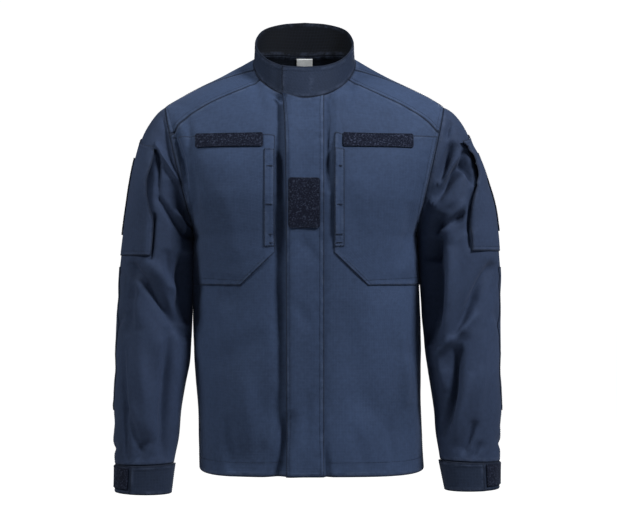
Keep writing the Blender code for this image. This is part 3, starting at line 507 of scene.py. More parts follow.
PUCKERS = (
    PuckerRow(View.FRONT, 25, -94, 25, -687, 44, 9, 1.0, 3),
    PuckerRow(View.FRONT, 35, -308, 35, -694, 26, 8, 1.1, 5),
    PuckerRow(View.FRONT, -178, -372, -101, -372, 9, 7, 1.1, 7),
    PuckerRow(View.FRONT, 115, -372, 183, -372, 8, 7, 0.9, 8),
    PuckerRow(View.FRONT, 202, -153, 192, -301, 16, 7, 1.0, 9),
    PuckerRow(View.FRONT, -202, -159, -188, -301, 14, 7, 1.0, 10),
    PuckerRow(View.FRONT, -52, -143, -48, -324, 12, 5, 0.7, 11),
    PuckerRow(View.FRONT, 52, -143, 52, -324, 12, 5, 0.7, 12),
    PuckerRow(View.LEFT, -34, -350, -34, -640, 26, 7, 0.7, 21),
    PuckerRow(View.RIGHT, -34, -350, -34, -640, 26, 7, 0.7, 22),
    PuckerRow(View.FRONT, 246, -656, 326, -656, 9, 8, 1.1, 23),
    PuckerRow(View.FRONT, -318, -660, -234, -660, 9, 8, 1.1, 24),
    PuckerRow(View.BACK, 246, -656, 326, -656, 9, 8, 1.1, 25),
    PuckerRow(View.BACK, -318, -660, -234, -660, 9, 8, 1.1, 26),
    PuckerRow(View.BACK, 180, -676, -180, -676, 34, 8, 0.9, 27),
    PuckerRow(View.FRONT, 190, -678, -180, -678, 34, 8, 0.9, 28),
)


@dataclass(frozen=True)
class Rumple:
    """Soft unevenness of the cloth: two sizes of slow waves, as it hangs unironed."""

    wide: float = 95.0
    wide_depth: float = 1.5
    close: float = 34.0
    close_depth: float = 0.45
    shift: float = 17.3                  # keeps the close waves' pattern apart from the wide ones'

    def moves(self, points: Array) -> Array:
        """How far each point moves along its facing.

        Args:
            points: Points.

        Returns:
            A distance for each point.
        """
        slow = [noise.noise(Vector(p)) for p in points / self.wide]
        fast = [noise.noise(Vector(p)) for p in points / self.close + self.shift]
        return self.wide_depth * np.array(slow) + self.close_depth * np.array(fast)


@dataclass(frozen=True)
class ClothMotion:
    """All that moves a surface's points in and out."""

    creases: tuple[Crease, ...]
    rumple: Rumple

    def moves(self, points: Array, facing: Array) -> Array:
        """How far each point moves along its facing.

        Args:
            points: Points.
            facing: The outward direction at each point.

        Returns:
            A distance for each point.
        """
        total = self.rumple.moves(points)
        for crease in self.creases:
            total += crease.moves(points, facing)
        return total


# ---------------------------------------------------------------- divisions

@dataclass(frozen=True)
class Division:
    """How finely the surfaces are divided; neighbours share these counts in their seams."""

    arm_front: int = 40
    arm_yoke: int = 20
    arm_back: int = 60
    side_rows: int = 80
    front_neck: int = 15
    yoke: int = 35
    back_neck: int = 16
    ridge: int = 10
    collar_rows: int = 14
    sleeve_rows: int = 150
    cuff_rows: int = 14


# ---------------------------------------------------------------- the body's surface

class Form:
    """A surface for cloth to lie on; a place on it is two numbers."""

    motion: ClothMotion

    def points(self, first: Array, second: Array) -> Array:
        """Points of the smooth surface."""
        raise NotImplementedError

    def facing(self, first: Array, second: Array) -> Array:
        """Outward directions, from wide differences."""
        raise NotImplementedError

    def freedom(self, first: Array, second: Array) -> Array:
        """How far the cloth may crease at each place, 0 to 1."""
        raise NotImplementedError

    def worn_points(self, places: Array) -> Array:
        """Points of the surface with its creases."""
        spots, walls = self.points(*places.T), self.facing(*places.T)
        return spots + walls * (self.motion.moves(spots, walls) * self.freedom(*places.T))[:, None]

    def worn_facing(self, places: Array) -> Array:
        """The wall's direction at each place."""
        return self.facing(*places.T)


@dataclass(frozen=True)
class BodyForm(Form):
    """The body of the jacket as one surface, from hem to neckline."""

    motion: ClothMotion
    shoulder: Spot = (239.0, 3.0, -78.0)
    side_neck: Spot = (87.0, 8.0, 0.0)
    hem_z: float = -696.0
    underarm_z: float = -290.0
    armhole_slope: float = 0.23
    armhole_half_depth: float = 78.0
    side_rounding: float = 0.22
    ridge_bulge: float = 4.0
    lean_at_hem: float = 13.0
    lean_power: float = 2.2
    lean_full_width: float = 195.0
    yoke_neck: float = 0.64
    shoulder_neck: float = 0.85
    yoke_level: float = 1.678
    half_width: float = 190.0
    behind: bool = False                 # whether places at the side belong to the back half

    @property
    def rear(self) -> "BodyForm":
        """The same surface, for what belongs to the back half."""
        return replace(self, behind=True)

    @property
    def armhole_half_height(self) -> float:
        """Half the height of the armhole."""
        return (self.shoulder[2] - self.underarm_z) / 2

    def lean(self, points: Array) -> Array:
        """Shifts the lower body towards the wearer's left, its centre least.

        Args:
            points: Points.

        Returns:
            The moved points.
        """
        drop = np.clip((self.shoulder[2] - points[..., 2]) / (self.shoulder[2] - self.hem_z), 0, 1.1)
        share = np.minimum(np.abs(points[..., 0]) / self.lean_full_width, 1) ** 2
        moved = points.copy()
        moved[..., 0] += self.lean_at_hem * drop ** self.lean_power * share
        return moved

    def armhole(self, level: Array, back: Array) -> Array:
        """The armhole of the left side, from the underarm (1) to the shoulder tip (2).

        Args:
            level: Places up the body.
            back: Whether each belongs to the back half.

        Returns:
            A point for each place.
        """
        turn = math.pi * (2 - level)
        z = (self.shoulder[2] + self.underarm_z) / 2 + self.armhole_half_height * np.cos(turn)
        y = self.shoulder[1] + np.where(back, 1, -1) * self.armhole_half_depth * np.sin(turn)
        x = self.shoulder[0] + self.armhole_slope * (z - self.shoulder[2])
        return np.stack([x, y, z], -1)

    def side_line(self, level: Array, back: Array) -> Array:
        """Where the half rows of the body end: side seam, armhole, shoulder ridge.

        Args:
            level: Places up the body.
            back: Whether each belongs to the back half.

        Returns:
            A point for each place.
        """
        seam_x = smooth_column(np.clip(level, 0, 1), SIDE_LEVELS, SIDE_WIDTHS)
        seam_z = between(self.hem_z, self.underarm_z, level)
        seam = np.stack([seam_x, np.full_like(seam_x, self.shoulder[1]), seam_z], -1)
        share = np.clip(level - 2, 0, 1)[..., None]
        ridge = between(np.array(self.shoulder), np.array(self.side_neck), share)
        ridge[..., 2] += self.ridge_bulge * np.sin(math.pi * share[..., 0] ** 0.75)
        arm = self.armhole(np.clip(level, 1, 2), back)
        level = level[..., None]
        return np.where(level < 1, seam, np.where(level <= 2, arm, ridge))

    def soft_side_line(self, level: Array, back: Array) -> Array:
        """The side line with its corners rounded: the rows away from the side follow this one.

        Args:
            level: Places up the body.
            back: Whether each belongs to the back half.

        Returns:
            A point for each place.
        """
        room = np.minimum(1, np.minimum(level, 3 - level) / self.side_rounding)
        steps = np.linspace(-self.side_rounding, self.side_rounding, 5)
        return sum(self.side_line(level + step * room, back) for step in steps) / len(steps)

    def points(self, around: Array, level: Array, behind: Optional[Array] = None) -> Array:
        """Points of the smooth surface.

        Args:
            around: Places round the body.
            level: Places up the body.
            behind: Whether a place at the side belongs to the back half, if not as the form says.

        Returns:
            A point for each place.
        """
        around, level = paired(around, level)
        behind = self.behind if behind is None else behind
        side = np.where((around < 0) | (around > 2), -1.0, 1.0)
        turn = np.where(around < 0, -around, np.where(around > 2, 4 - around, around))
        back = (turn > 1) | (behind & (turn == 1))
        marks = [row.level for row in BODY]

        def read(name: str) -> Array:
            """A column of the table at each place's level."""
            return smooth_column(level, marks, [getattr(row, name) for row in BODY])

        def own(name: str) -> Array:
            """A column of the half that each place belongs to."""
            return np.where(back, read("back_" + name), read("front_" + name))

        end = self.side_line(level, back)
        yaw, pitch = np.radians(read("yaw")), np.radians(own("pitch"))
        towards = np.where(back, 1.0, -1.0)
        flat = np.cos(pitch)
        way = np.stack([-np.sin(yaw) * flat, towards * np.cos(yaw) * flat, np.sin(pitch)], -1)
        middle_y, middle_z = own("y"), own("z")
        middle = np.stack([np.zeros_like(level), middle_y, middle_z], -1)
        handle = np.stack([own("reach"), middle_y, middle_z], -1)
        share = np.where(back, 2 - turn, turn)
        before_end = self.soft_side_line(level, back) + way * own("side")[..., None]
        spots = bezier(middle, handle, before_end, end, share)
        spots[..., 0] *= side
        return self.lean(spots)

    def facing(self, around: Array, level: Array) -> Array:
        """Outward directions, from wide differences that stay on one half beside the armhole.

        Args:
            around: Places round the body.
            level: Places up the body.

        Returns:
            A direction for each place.
        """
        around, level = paired(around, level)
        wide, tall = 0.04, 0.04
        beside_armhole = (level > 1) & (level < 2)
        nearest_side = np.where(around < 0, -1.0, np.where(around > 2, 3.0, 1.0))
        inner = np.where(np.abs(around - nearest_side) < 1e-9, self.behind, around > nearest_side)
        before, after = around - wide, around + wide
        before = np.where(beside_armhole & inner, np.maximum(before, nearest_side), before)
        after = np.where(beside_armhole & ~inner, np.minimum(after, nearest_side), after)
        back = self._on_back(around)
        across = self.points(after, level, back) - self.points(before, level, back)
        low, high = np.clip(level - tall, 0, 3), np.clip(level + tall, 0, 3)
        up = self.points(around, high, back) - self.points(around, low, back)
        return unit(np.cross(across, up))

    def _on_back(self, around: Array) -> Array:
        """Whether each place belongs to the back half."""
        return (around > 1) & (around < 3) | self.behind

    def armhole_wall(self, level: Array, back: Array, side: Array) -> Array:
        """The direction of the wall's edge in an armhole seam, shared by body and sleeve.

        Args:
            level: Places up the body.
            back: Whether each belongs to the back half.
            side: The wearer's side.

        Returns:
            A direction for each place.
        """
        turn = math.pi * (2 - level)
        tilt = unit(np.array([self.armhole_slope, 0, 1.0]))
        outward = (
            np.cos(turn)[..., None] * tilt / self.armhole_half_height
            + (np.where(back, 1, -1) * np.sin(turn))[..., None]
            * np.array([0, 1.0, 0]) / self.armhole_half_depth
        )
        way = unit(unit(outward) + np.array([1.0, 0, 0]))
        way[..., 0] *= side
        return way

    def from_armhole(self, around: Array, level: Array) -> Array:
        """0 at the armhole and 1 well away from it.

        Args:
            around: Places round the body.
            level: Places up the body.

        Returns:
            A share for each place.
        """
        away = ease(np.abs(np.abs(around - 1) % 2), 0, 0.10)
        away = np.where(np.abs(around - 1) % 2 > 1, ease(2 - np.abs(around - 1) % 2, 0, 0.10), away)
        beside = ease(level, 0.93, 1.0) * (1 - ease(level, 2.0, 2.06))
        return 1 - beside * (1 - away)

    def freedom(self, around: Array, level: Array) -> Array:
        """Creases end at the armholes and the neckline."""
        return self.from_armhole(around, level) * ease(3 - level, 0.0, 0.1)

    def worn_facing(self, places: Array) -> Array:
        """The wall's direction at each place, shared with the sleeve in the armhole seam.

        Args:
            places: Places on the surface.

        Returns:
            A direction for each place.
        """
        around, level = places.T
        walls = self.facing(around, level)
        side = np.where((around < 0) | (around > 2), -1.0, 1.0)
        shared = self.armhole_wall(np.clip(level, 1, 2), self._on_back(around), side)
        share = self.from_armhole(around, level)[:, None]
        near = np.where((level > 0.9) & (level < 2.1), 1.0, 0.0)[:, None]
        return unit(walls + (shared - walls) * (1 - share) * near)

    def _first_level(self, z: Array) -> Array:
        """A level near each height, to start a search from."""
        return np.clip((z - self.hem_z) / (self.underarm_z - self.hem_z), 0.02, 2.9)

    def place_at(self, x: Array, z: Array) -> Array:
        """The places whose points show at x, z from the front, or on the rear form from behind.

        Args:
            x: Across, minus on the wearer's right.
            z: Height.

        Returns:
            A place (around, level) for each x and z.
        """
        x, z = paired(x, z)
        half = self.half_width
        around = 2 - x / (half / 2) if self.behind else np.clip(x / half, -0.9, 0.9)
        low, high = (1.005, 2.995) if self.behind else (-0.995, 0.995)
        level = self._first_level(z)
        step = 1e-4
        for _ in range(40):
            here = self.points(around, level)
            by_around = (self.points(around + step, level) - here)[..., [0, 2]] / step
            by_level = (self.points(around, level + step) - here)[..., [0, 2]] / step
            miss = np.stack([x - here[..., 0], z - here[..., 2]], -1)
            size = by_around[..., 0] * by_level[..., 1] - by_around[..., 1] * by_level[..., 0]
            turn = (miss[..., 0] * by_level[..., 1] - miss[..., 1] * by_level[..., 0]) / size
            rise = (by_around[..., 0] * miss[..., 1] - by_around[..., 1] * miss[..., 0]) / size
            around = np.clip(around + np.clip(turn, -0.15, 0.15), low, high)
            level = np.clip(level + np.clip(rise, -0.2, 0.2), 0.0, 2.999)
        return np.stack([around, level], -1)

    def level_at(self, around: Array, z: Array) -> Array:
        """The level at which the surface has height z, for a given place around.

        Args:
            around: Places round the body.
            z: Heights.

        Returns:
            A level for each place.
        """
        around, z = paired(around, z)
        search = Search(probe=1e-4, longest=0.2, low=0.0, high=2.999)
        return search.solve(lambda level: self.points(around, level)[..., 2], z, self._first_level(z))

    def around_at(self, x: Array, level: Array) -> Array:
        """The place round the front at which the surface is x from the centre plane, at a level.

        Args:
            x: Distances from the centre plane.
            level: Places up the body.

        Returns:
            A place round for each x.
        """
        search = Search(probe=1e-4, longest=0.15, low=-0.995, high=0.995)
        first = np.clip(x / self.half_width, -0.9, 0.9)
        return search.solve(lambda around: self.points(around, level)[..., 0], x, first)

    def yoke_seam(self, share: Array) -> Array:
        """The seam between front and yoke, as places from the neckline to the left armhole.

        Args:
            share: Shares of the way along.

        Returns:
            A place (around, level) for each share.
        """
        line_x, line_z = np.array(YOKE_SEAM).T
        x = between(line_x[0], line_x[-1], share)
        place = self.place_at(x, smooth_column(x, line_x, line_z))
        turn = np.where(share <= 0, self.yoke_neck, np.where(share >= 1, 1.0, place[..., 0]))
        level = np.where(share <= 0, 3.0, np.where(share >= 1, self.yoke_level, place[..., 1]))
        return np.stack([turn, level], -1)


# ---------------------------------------------------------------- the sleeves' surface

@dataclass(frozen=True)
class SleeveForm(Form):
    """A sleeve and its cuff as one surface: turn 0 is its outer line, a quarter its back."""

    body: BodyForm
    side: Side
    ring_height: float = 41.0            # about how far apart the rings lie

    @property
    def motion(self) -> ClothMotion:
        """What moves the cloth of the whole jacket."""
        return self.body.motion

    def column(self, name: str, station: Array) -> Array:
        """One of the sleeve table's columns, read at a place between its rows."""
        return smooth_column(station, range(len(SLEEVE)), [getattr(row, name) for row in SLEEVE])

    def line(self, name: str, station: Array) -> Array:
        """The outer or inner line, shortened to the side's own length below the shoulder tip.

        Args:
            name: Which line.
            station: Places along the sleeve.

        Returns:
            A distance from the centre plane and a height for each station.
        """
        top = self.body.shoulder[2]
        height = top + (self.column(name + "_z", station) - top) * SLEEVE_LENGTH[self.side]
        return np.stack([self.column(name + "_" + self.side.label, station), height], -1)

    def points(self, turn: Array, station: Array) -> Array:
        """Points of the smooth surface; the first ring is the armhole.

        Args:
            turn: Turns round it.
            station: Places along it.

        Returns:
            A point for each place.
        """
        turn, station = paired(turn, station)
        outer, inner = self.line("outer", station), self.line("inner", station)
        spot = (outer + inner) / 2 + (outer - inner) / 2 * np.cos(turn)[..., None]
        y = self.column("middle_y", station) + self.column("half_depth", station) * np.sin(turn)
        spots = np.stack([self.side.value * spot[..., 0], y, spot[..., 1]], -1)
        seam = self.body.armhole(self.seam_level(turn), np.sin(turn) > 0)
        seam[..., 0] *= self.side.value
        near = (1 - np.clip(station, 0, 1))[..., None]
        return spots + (self.body.lean(seam) - spots) * near ** 2

    def turns(self, division: Division) -> Array:
        """Angles round the sleeve, from the shoulder tip over the back and the underarm to the front.

        Args:
            division: How finely the cloth is divided.

        Returns:
            The turns, rising.
        """
        seam_level = self.body.yoke_level
        back = math.pi * (2 - np.linspace(2, 1, division.arm_back + 1))
        front = math.pi * (2 - np.linspace(1, seam_level, division.arm_front + 1))[1:]
        yoke = math.pi * (2 - np.linspace(seam_level, 2, division.arm_yoke + 1))[1:]
        return np.concatenate([back, 2 * math.pi - front, 2 * math.pi - yoke]) % (2 * math.pi)

    def seam_level(self, turn: Array) -> Array:
        """The body's level at the armhole for a turn of the sleeve."""
        turn = turn % (2 * math.pi)
        return 2 - np.where(turn > math.pi, 2 * math.pi - turn, turn) / math.pi

    def facing(self, turn: Array, station: Array) -> Array:
        """Outward directions, from wide differences.

        Args:
            turn: Turns round it.
            station: Places along it.

        Returns:
            A direction for each place.
        """
        turn, station = paired(turn, station)
        around = self.points(turn + 0.1, station) - self.points(turn - 0.1, station)
        low, high = np.clip(station - 0.35, 0, END_STATION), np.clip(station + 0.35, 0, END_STATION)
        return unit(np.cross(self.points(turn, high) - self.points(turn, low), around)) * self.side.value

    def freedom(self, turn: Array, station: Array) -> Array:
        """Creases end at the armhole and the cuff."""
        return ease(station, 0, 0.7) * ease(CUFF_STATION - station, 0, 0.45)

    def worn_facing(self, places: Array) -> Array:
        """The wall's direction at each place, shared with the body in the armhole seam.

        Args:
            places: Places on the surface.

        Returns:
            A direction for each place.
        """
        turn, station = places.T
        walls = self.facing(turn, station)
        shared = self.body.armhole_wall(self.seam_level(turn), np.sin(turn) > 0, self.side.value)
        return unit(walls + (shared - walls) * (1 - ease(station, 0, 0.35))[:, None])

    def station_at(self, turn: Array, z: Array) -> Array:
        """The station at which the surface has height z, for a given turn.

        Args:
            turn: Turns round it.
            z: Heights.

        Returns:
            A station for each turn.
        """
        turn, z = paired(turn, z)
        first = np.clip((self.body.shoulder[2] - z) / self.ring_height, 0.3, END_STATION)
        search = Search(probe=1e-3, longest=1.0, low=0.02, high=END_STATION)
        return search.solve(lambda station: self.points(turn, station)[..., 2], z, first)

    def places_at(self, turn: Array, z: Array) -> Array:
        """The places at given turns and heights."""
        return np.stack([turn, self.station_at(turn, z)], -1)

    def turn_at(self, y: Array, z: Array, start: float) -> Array:
        """The turn at which the surface has a y and a height.

        Args:
            y: From front to back.
            z: Heights.
            start: A turn near the wanted one.

        Returns:
            A turn for each y and height.
        """
        y, z = paired(y, z)
        search = Search(probe=1e-3, longest=0.2, steps=25)
        return search.solve(
            lambda turn: self.points(turn, self.station_at(turn, z))[..., 1], y, np.full(z.shape, start)
        )


# ---------------------------------------------------------------- finishes

CLOTH_MAP = "cloth"                      # flat places on the cloth, in metres
RIM = "rim"                              # 1 at a piece's edge, 0 away from it
# the inside mark also places the painted shade that darkens each piece's inner face
INSIDE = "inside"                        # 1 on a piece's inner face, 0 on its outer one
SHEEN_ROUGHNESS = 0.45
SHEEN_TINT = (0.55, 0.65, 0.95, 1.0)
SPECULAR = 0.14


class Nodes:
    """Shader nodes in the making."""

    def __init__(self, tree: bpy.types.NodeTree) -> None:
        """Starts with the tree that they go in."""
        self.tree = tree

    def join(self, source: Feed, target: Socket) -> None:
        """Links two sockets, or sets a number or colour on the second.

        Args:
            source: A socket, number or colour.
            target: The socket that is fed.
        """
        if isinstance(source, Socket):
            self.tree.links.new(source, target)
        else:
            target.default_value = source

    def node(self, kind: str, feeds: Optional[dict[str | int, Feed]] = None, **settings: object) -> Node:
        """Adds a node.

        Args:
            kind: The node's kind.
            feeds: What its sockets are given, by name or number.
            settings: The properties that it is given.

        Returns:
            The node.
        """
        node = self.tree.nodes.new(kind)
        for label, value in settings.items():
            setattr(node, label, value)
        for label, source in (feeds or {}).items():
            self.join(source, node.inputs[label])
        return node

    def maths(self, operation: str, *values: Feed) -> Socket:
        """The result of a Math node."""
        return self.node("ShaderNodeMath", dict(enumerate(values)), operation=operation).outputs[0]

    def mix(self, share: Feed, first: Feed, second: Feed) -> Socket:
        """A colour mixed from two."""
        return self.node("ShaderNodeMix", {0: share, 6: first, 7: second}, data_type="RGBA").outputs[2]

    def noise(self, place: Socket, scale: float, detail: float, roughness: float = 0.55) -> Socket:
        """The value of a Noise Texture, its scale in features a metre."""
        feeds = {"Vector": place, "Scale": scale, "Detail": detail, "Roughness": roughness}
        return self.node("ShaderNodeTexNoise", feeds).outputs["Fac"]

    def spread(self, value: Socket, ends: Span, results: Span = (0.0, 1.0)) -> Socket:
        """A value mapped from between two ends to between two results."""
        feeds = dict(zip(("Value", "From Min", "From Max", "To Min", "To Max"), (value, *ends, *results)))
        return self.node("ShaderNodeMapRange", feeds).outputs["Result"]

    def mark(self, name: str) -> Socket:
        """The value that the mesh carries under a name."""
        return self.node("ShaderNodeAttribute", attribute_name=name).outputs["Fac"]

    def place(self) -> Socket:
        """The place in space, in metres."""
        return self.node("ShaderNodeTexCoord").outputs["Object"]


class Group(Nodes):
    """A shader node group in the making."""

    def __init__(self, name: str, inputs: dict[str, Feed], outputs: dict[str, str]) -> None:
        """Starts the group.

        Args:
            name: The group's name.
            inputs: Names and first values, a number or a colour.
            outputs: Names and kinds, Float or Color.
        """
        super().__init__(bpy.data.node_groups.new(name, "ShaderNodeTree"))
        for label, value in inputs.items():
            kind = "NodeSocketFloat" if isinstance(value, float) else "NodeSocketColor"
            socket = self.tree.interface.new_socket(label, in_out="INPUT", socket_type=kind)
            socket.default_value = value
        for label, kind in outputs.items():
            self.tree.interface.new_socket(label, in_out="OUTPUT", socket_type="NodeSocket" + kind)
        self.given = self.node("NodeGroupInput").outputs
        self.result = self.node("NodeGroupOutput").inputs

    def finish(self, **results: Socket) -> None:
        """Feeds the group's outputs."""
        for label, source in results.items():
            self.join(source, self.result[label])


def ripstop_group(name: str) -> None:
    """The weave: thicker threads every few millimetres both ways, over a fine plain weave.

    Args:
        name: The group's name.
    """
    group = Group(name, {"Cell": 0.0055, "Rib": 0.11, "Grain": 0.35}, {"Height": "Float", "Rib": "Float"})
    flat = group.node("ShaderNodeUVMap", uv_map=CLOTH_MAP).outputs["UV"]
    parts = group.node("ShaderNodeSeparateXYZ", {0: flat}).outputs
    ribs = []
    for axis in (0, 1):
        cells = group.maths("DIVIDE", parts[axis], group.given["Cell"])
        off = group.maths("ABSOLUTE", group.maths("SUBTRACT", group.maths("FRACT", cells), 0.5))
        inner = group.maths("SUBTRACT", 0.5, group.given["Rib"])
        ribs.append(group.spread(group.maths("SUBTRACT", off, inner), (0.0, 0.08)))
    rib = group.maths("MAXIMUM", *ribs)
    grain = group.noise(flat, 1500.0, 2.0)
    group.finish(Height=group.maths("MULTIPLY_ADD", grain, group.given["Grain"], rib), Rib=rib)


def tone_group(name: str) -> None:
    """The dye's unevenness: broad soft changes and a finer mottle, with painted shade that darkens the inner
    face.

    Args:
        name: The group's name.
    """
    inputs = {"Color": (0.03, 0.04, 0.07, 1.0), "Broad": 0.12, "Fine": 0.10, "Inner": 0.12}
    group = Group(name, inputs, {"Color": "Color", "Value": "Float"})
    place = group.place()
    value = 1.0
    for label, scale, detail in (("Broad", 7.0, 2.0), ("Fine", 160.0, 3.0)):
        tone = group.spread(group.noise(place, scale, detail), (0.3, 0.7), (-1.0, 1.0))
        value = group.maths("MULTIPLY_ADD", tone, group.given[label], value)
    # painted shade: on the inner face the colour is scaled down to the given share
    painted_inner_shade = group.maths("MULTIPLY", group.mark(INSIDE), group.maths("SUBTRACT", 1.0, group.given["Inner"]))
    value = group.maths("MULTIPLY", value, group.maths("SUBTRACT", 1.0, painted_inner_shade))
    shade = group.node("ShaderNodeVectorMath", {0: group.given["Color"], "Scale": value}, operation="SCALE")
    group.finish(Color=shade.outputs[0], Value=value)


def wear_and_shade_group(name: str) -> None:
    """A piece's border: painted shade as a dark line along its edges and seams, cloth drawn up by the
    thread, and rubbed patches.

    Args:
        name: The group's name.
    """
    group = Group(
        name, {"Amount": 0.5, "Line": 0.7}, {"Mask": "Float", "Shade": "Float", "Height": "Float"}
    )
    rim, place = group.mark(RIM), group.place()
    patches = group.spread(group.noise(place, 60.0, 4.0, 0.7), (0.42, 0.66))
    band = group.maths("MULTIPLY", group.spread(rim, (0.08, 0.3)), patches)
    group.finish(
        Mask=group.maths("MULTIPLY", band, group.given["Amount"]),
        # painted shade: a dark line at each piece's edge, where a seam's groove is shaded
        Shade=group.maths("MULTIPLY", group.spread(rim, (0.66, 0.92)), group.given["Line"]),
        Height=group.maths("MULTIPLY", group.noise(place, 170.0, 2.0), group.spread(rim, (0.02, 0.2))),
    )


def pile_group(name: str) -> None:
    """Loop pile: small tangled loops, with pale flecks painted as highlights where a few loops would catch
    the light.

    Args:
        name: The group's name.
    """
    inputs = {"Color": (0.03, 0.03, 0.06, 1.0), "Fleck": (0.2, 0.2, 0.28, 1.0), "Size": 900.0}
    group = Group(name, inputs, {"Color": "Color", "Height": "Float"})
    place = group.place()
    cells = group.node("ShaderNodeTexVoronoi", {"Vector": place, "Scale": group.given["Size"]}, feature="F1")
    loops = group.spread(cells.outputs["Distance"], (0.0, 0.7), (1.0, 0.0))
    tangle = group.noise(place, 520.0, 5.0, 0.75)
    flecks = group.spread(group.noise(place, 380.0, 2.0, 0.8), (0.52, 0.66), (0.0, 0.9))
    group.finish(
        # painted highlight: pale flecks mixed into the pile's colour
        Color=group.mix(flecks, group.given["Color"], group.given["Fleck"]),
        Height=group.maths("ADD", loops, tangle),
    )


GROUP_MAKERS: dict[str, Callable[[str], None]] = {
    "ripstop_weave": ripstop_group,
    "cloth_tone": tone_group,
    "edge_wear": wear_and_shade_group,
    "loop_pile": pile_group,
}


class Palette(Nodes):
    """A material in the making: its shader and the shared groups placed in it."""

    def __init__(self, name: str) -> None:
        """Starts the material with a Principled shader.

        Args:
            name: The material's name.
        """
        self.material = bpy.data.materials.new(name)
        self.material.use_nodes = True
        super().__init__(self.material.node_tree)
        self.shader = self.tree.nodes["Principled BSDF"]

    def shade(self, feeds: dict[str, Feed]) -> None:
        """Gives the shader's sockets what feeds them."""
        for label, source in feeds.items():
            self.join(source, self.shader.inputs[label])

    def group(self, name: str, **values: Feed) -> bpy.types.NodeOutputs:
        """Places a shared group.

        Args:
            name: The group's name; it is built once.
            **values: Values of its inputs.

        Returns:
            Its outputs.
        """
        if name not in bpy.data.node_groups:
            GROUP_MAKERS[name](name)
        node = self.node("ShaderNodeGroup", node_tree=bpy.data.node_groups[name])
        for label, value in values.items():
            self.join(value, node.inputs[label])
        return node.outputs

    def bump(self, height: Socket, depth: float, strength: float) -> None:
        """Gives the shader's normal a relief, its depth in metres."""
        feeds = {"Distance": depth, "Strength": strength, "Height": height}
        self.shade({"Normal": self.node("ShaderNodeBump", feeds).outputs["Normal"]})


@dataclass(frozen=True)
class Finish:
    """A finish: the slot that it belongs to, its colours and its sheen."""

    slot: str
    colour: Colour
    wear_and_glint: Colour
    roughness: float
    sheen: float

    def material(self) -> bpy.types.Material:
        """The finish's material, made once.

        Returns:
            The material.
        """
        name = type(self).__name__
        if name not in bpy.data.materials:
            palette = Palette(name)
            palette.shade({
                "Roughness": self.roughness,
                "Sheen Weight": self.sheen,
                "Sheen Roughness": SHEEN_ROUGHNESS,
                "Sheen Tint": SHEEN_TINT,
                "Specular IOR Level": SPECULAR,
            })
            self.paint(palette)
        return bpy.data.materials[name]

    def paint(self, palette: Palette) -> None:
        """Adds what varies over the cloth to its material in the making."""
        raise NotImplementedError


@dataclass(frozen=True)
class RipstopNavy(Finish):
    """The jacket's cloth: weave, uneven dye, rubbed edges, and painted shade along its edges and on its
    inner face.
    """

    # the dark colour of the painted shade along each piece's edges and seams
    deep: Colour = (0.004, 0.006, 0.012, 1.0)
    pucker: float = 9.0
    rib_wear: float = 0.045

    def paint(self, palette: Palette) -> None:
        """Adds the dye, pale ribs, rubbed edges, painted shade as dark seam lines, and the relief.

        Args:
            palette: The material in the making.
        """
        tone = palette.group("cloth_tone", Color=self.colour)
        weave = palette.group("ripstop_weave")
        wear_and_shade = palette.group("edge_wear", Amount=0.35)
        ribs = palette.maths("MULTIPLY", weave["Rib"], self.rib_wear)
        ribbed = palette.mix(ribs, tone["Color"], self.wear_and_glint)
        rubbed = palette.mix(wear_and_shade["Mask"], ribbed, self.wear_and_glint)
        # painted shade: the dark line along edges and seams is mixed into the colour
        palette.shade({"Base Color": palette.mix(wear_and_shade["Shade"], rubbed, self.deep)})
        height = palette.maths("MULTIPLY_ADD", wear_and_shade["Height"], self.pucker, weave["Height"])
        palette.bump(height, depth=0.00016, strength=0.6)


@dataclass(frozen=True)
class ShadedSleeveRipstopNavy(RipstopNavy):
    """The same cloth, its colour darkened as painted shade, which the sleeves are cut from."""


@dataclass(frozen=True)
class ShadedBandRipstopNavy(RipstopNavy):
    """The same cloth doubled over a stiffener, for collar and cuffs, its colour darkened further as painted
    shade.
    """


@dataclass(frozen=True)
class LoopPileNavy(Finish):
    """Loop tape: pile with pale flecks of painted highlight."""

    def paint(self, palette: Palette) -> None:
        """Adds the pile's colour and relief.

        Args:
            palette: The material in the making.
        """
        pile = palette.group("loop_pile", Color=self.colour, Fleck=self.wear_and_glint)
        palette.shade({"Base Color": pile["Color"]})
        palette.bump(pile["Height"], depth=0.0008, strength=0.7)


@dataclass(frozen=True)
class NavyThread(Finish):
    """Sewing thread, unevenly dyed and glossier than the cloth."""

    def paint(self, palette: Palette) -> None:
        """Adds the thread's uneven dye."""
        tone = palette.group("cloth_tone", Color=self.colour, Broad=0.12, Fine=0.25)
        palette.shade({"Base Color": tone["Color"]})


@dataclass(frozen=True)
class WovenLabel(Finish):
    """The plain pale label inside the neck: a close weave, greyed at the edges."""

    def paint(self, palette: Palette) -> None:
        """Adds the label's tone, greyed edges and weave.

        Args:
            palette: The material in the making.
        """
        tone = palette.group("cloth_tone", Color=self.colour, Broad=0.05, Fine=0.06, Inner=1.0)
        weave = palette.group("ripstop_weave", Cell=0.0012, Rib=0.2)
        wear_and_shade = palette.group("edge_wear", Amount=0.4)
        palette.shade({"Base Color": palette.mix(wear_and_shade["Mask"], tone["Color"], self.wear_and_glint)})
        palette.bump(weave["Height"], depth=0.0002, strength=0.4)


CLOTH = RipstopNavy("ripstop_navy", (0.027, 0.043, 0.086, 1.0), (0.068, 0.090, 0.145, 1.0), 0.80, 0.08)
# painted shade: the sleeves' cloth is given a darker colour than the body's
SLEEVE_SHADE_CLOTH = ShadedSleeveRipstopNavy(
    "ripstop_navy", (0.021, 0.032, 0.064, 1.0), (0.055, 0.070, 0.115, 1.0), 0.80, 0.05
)
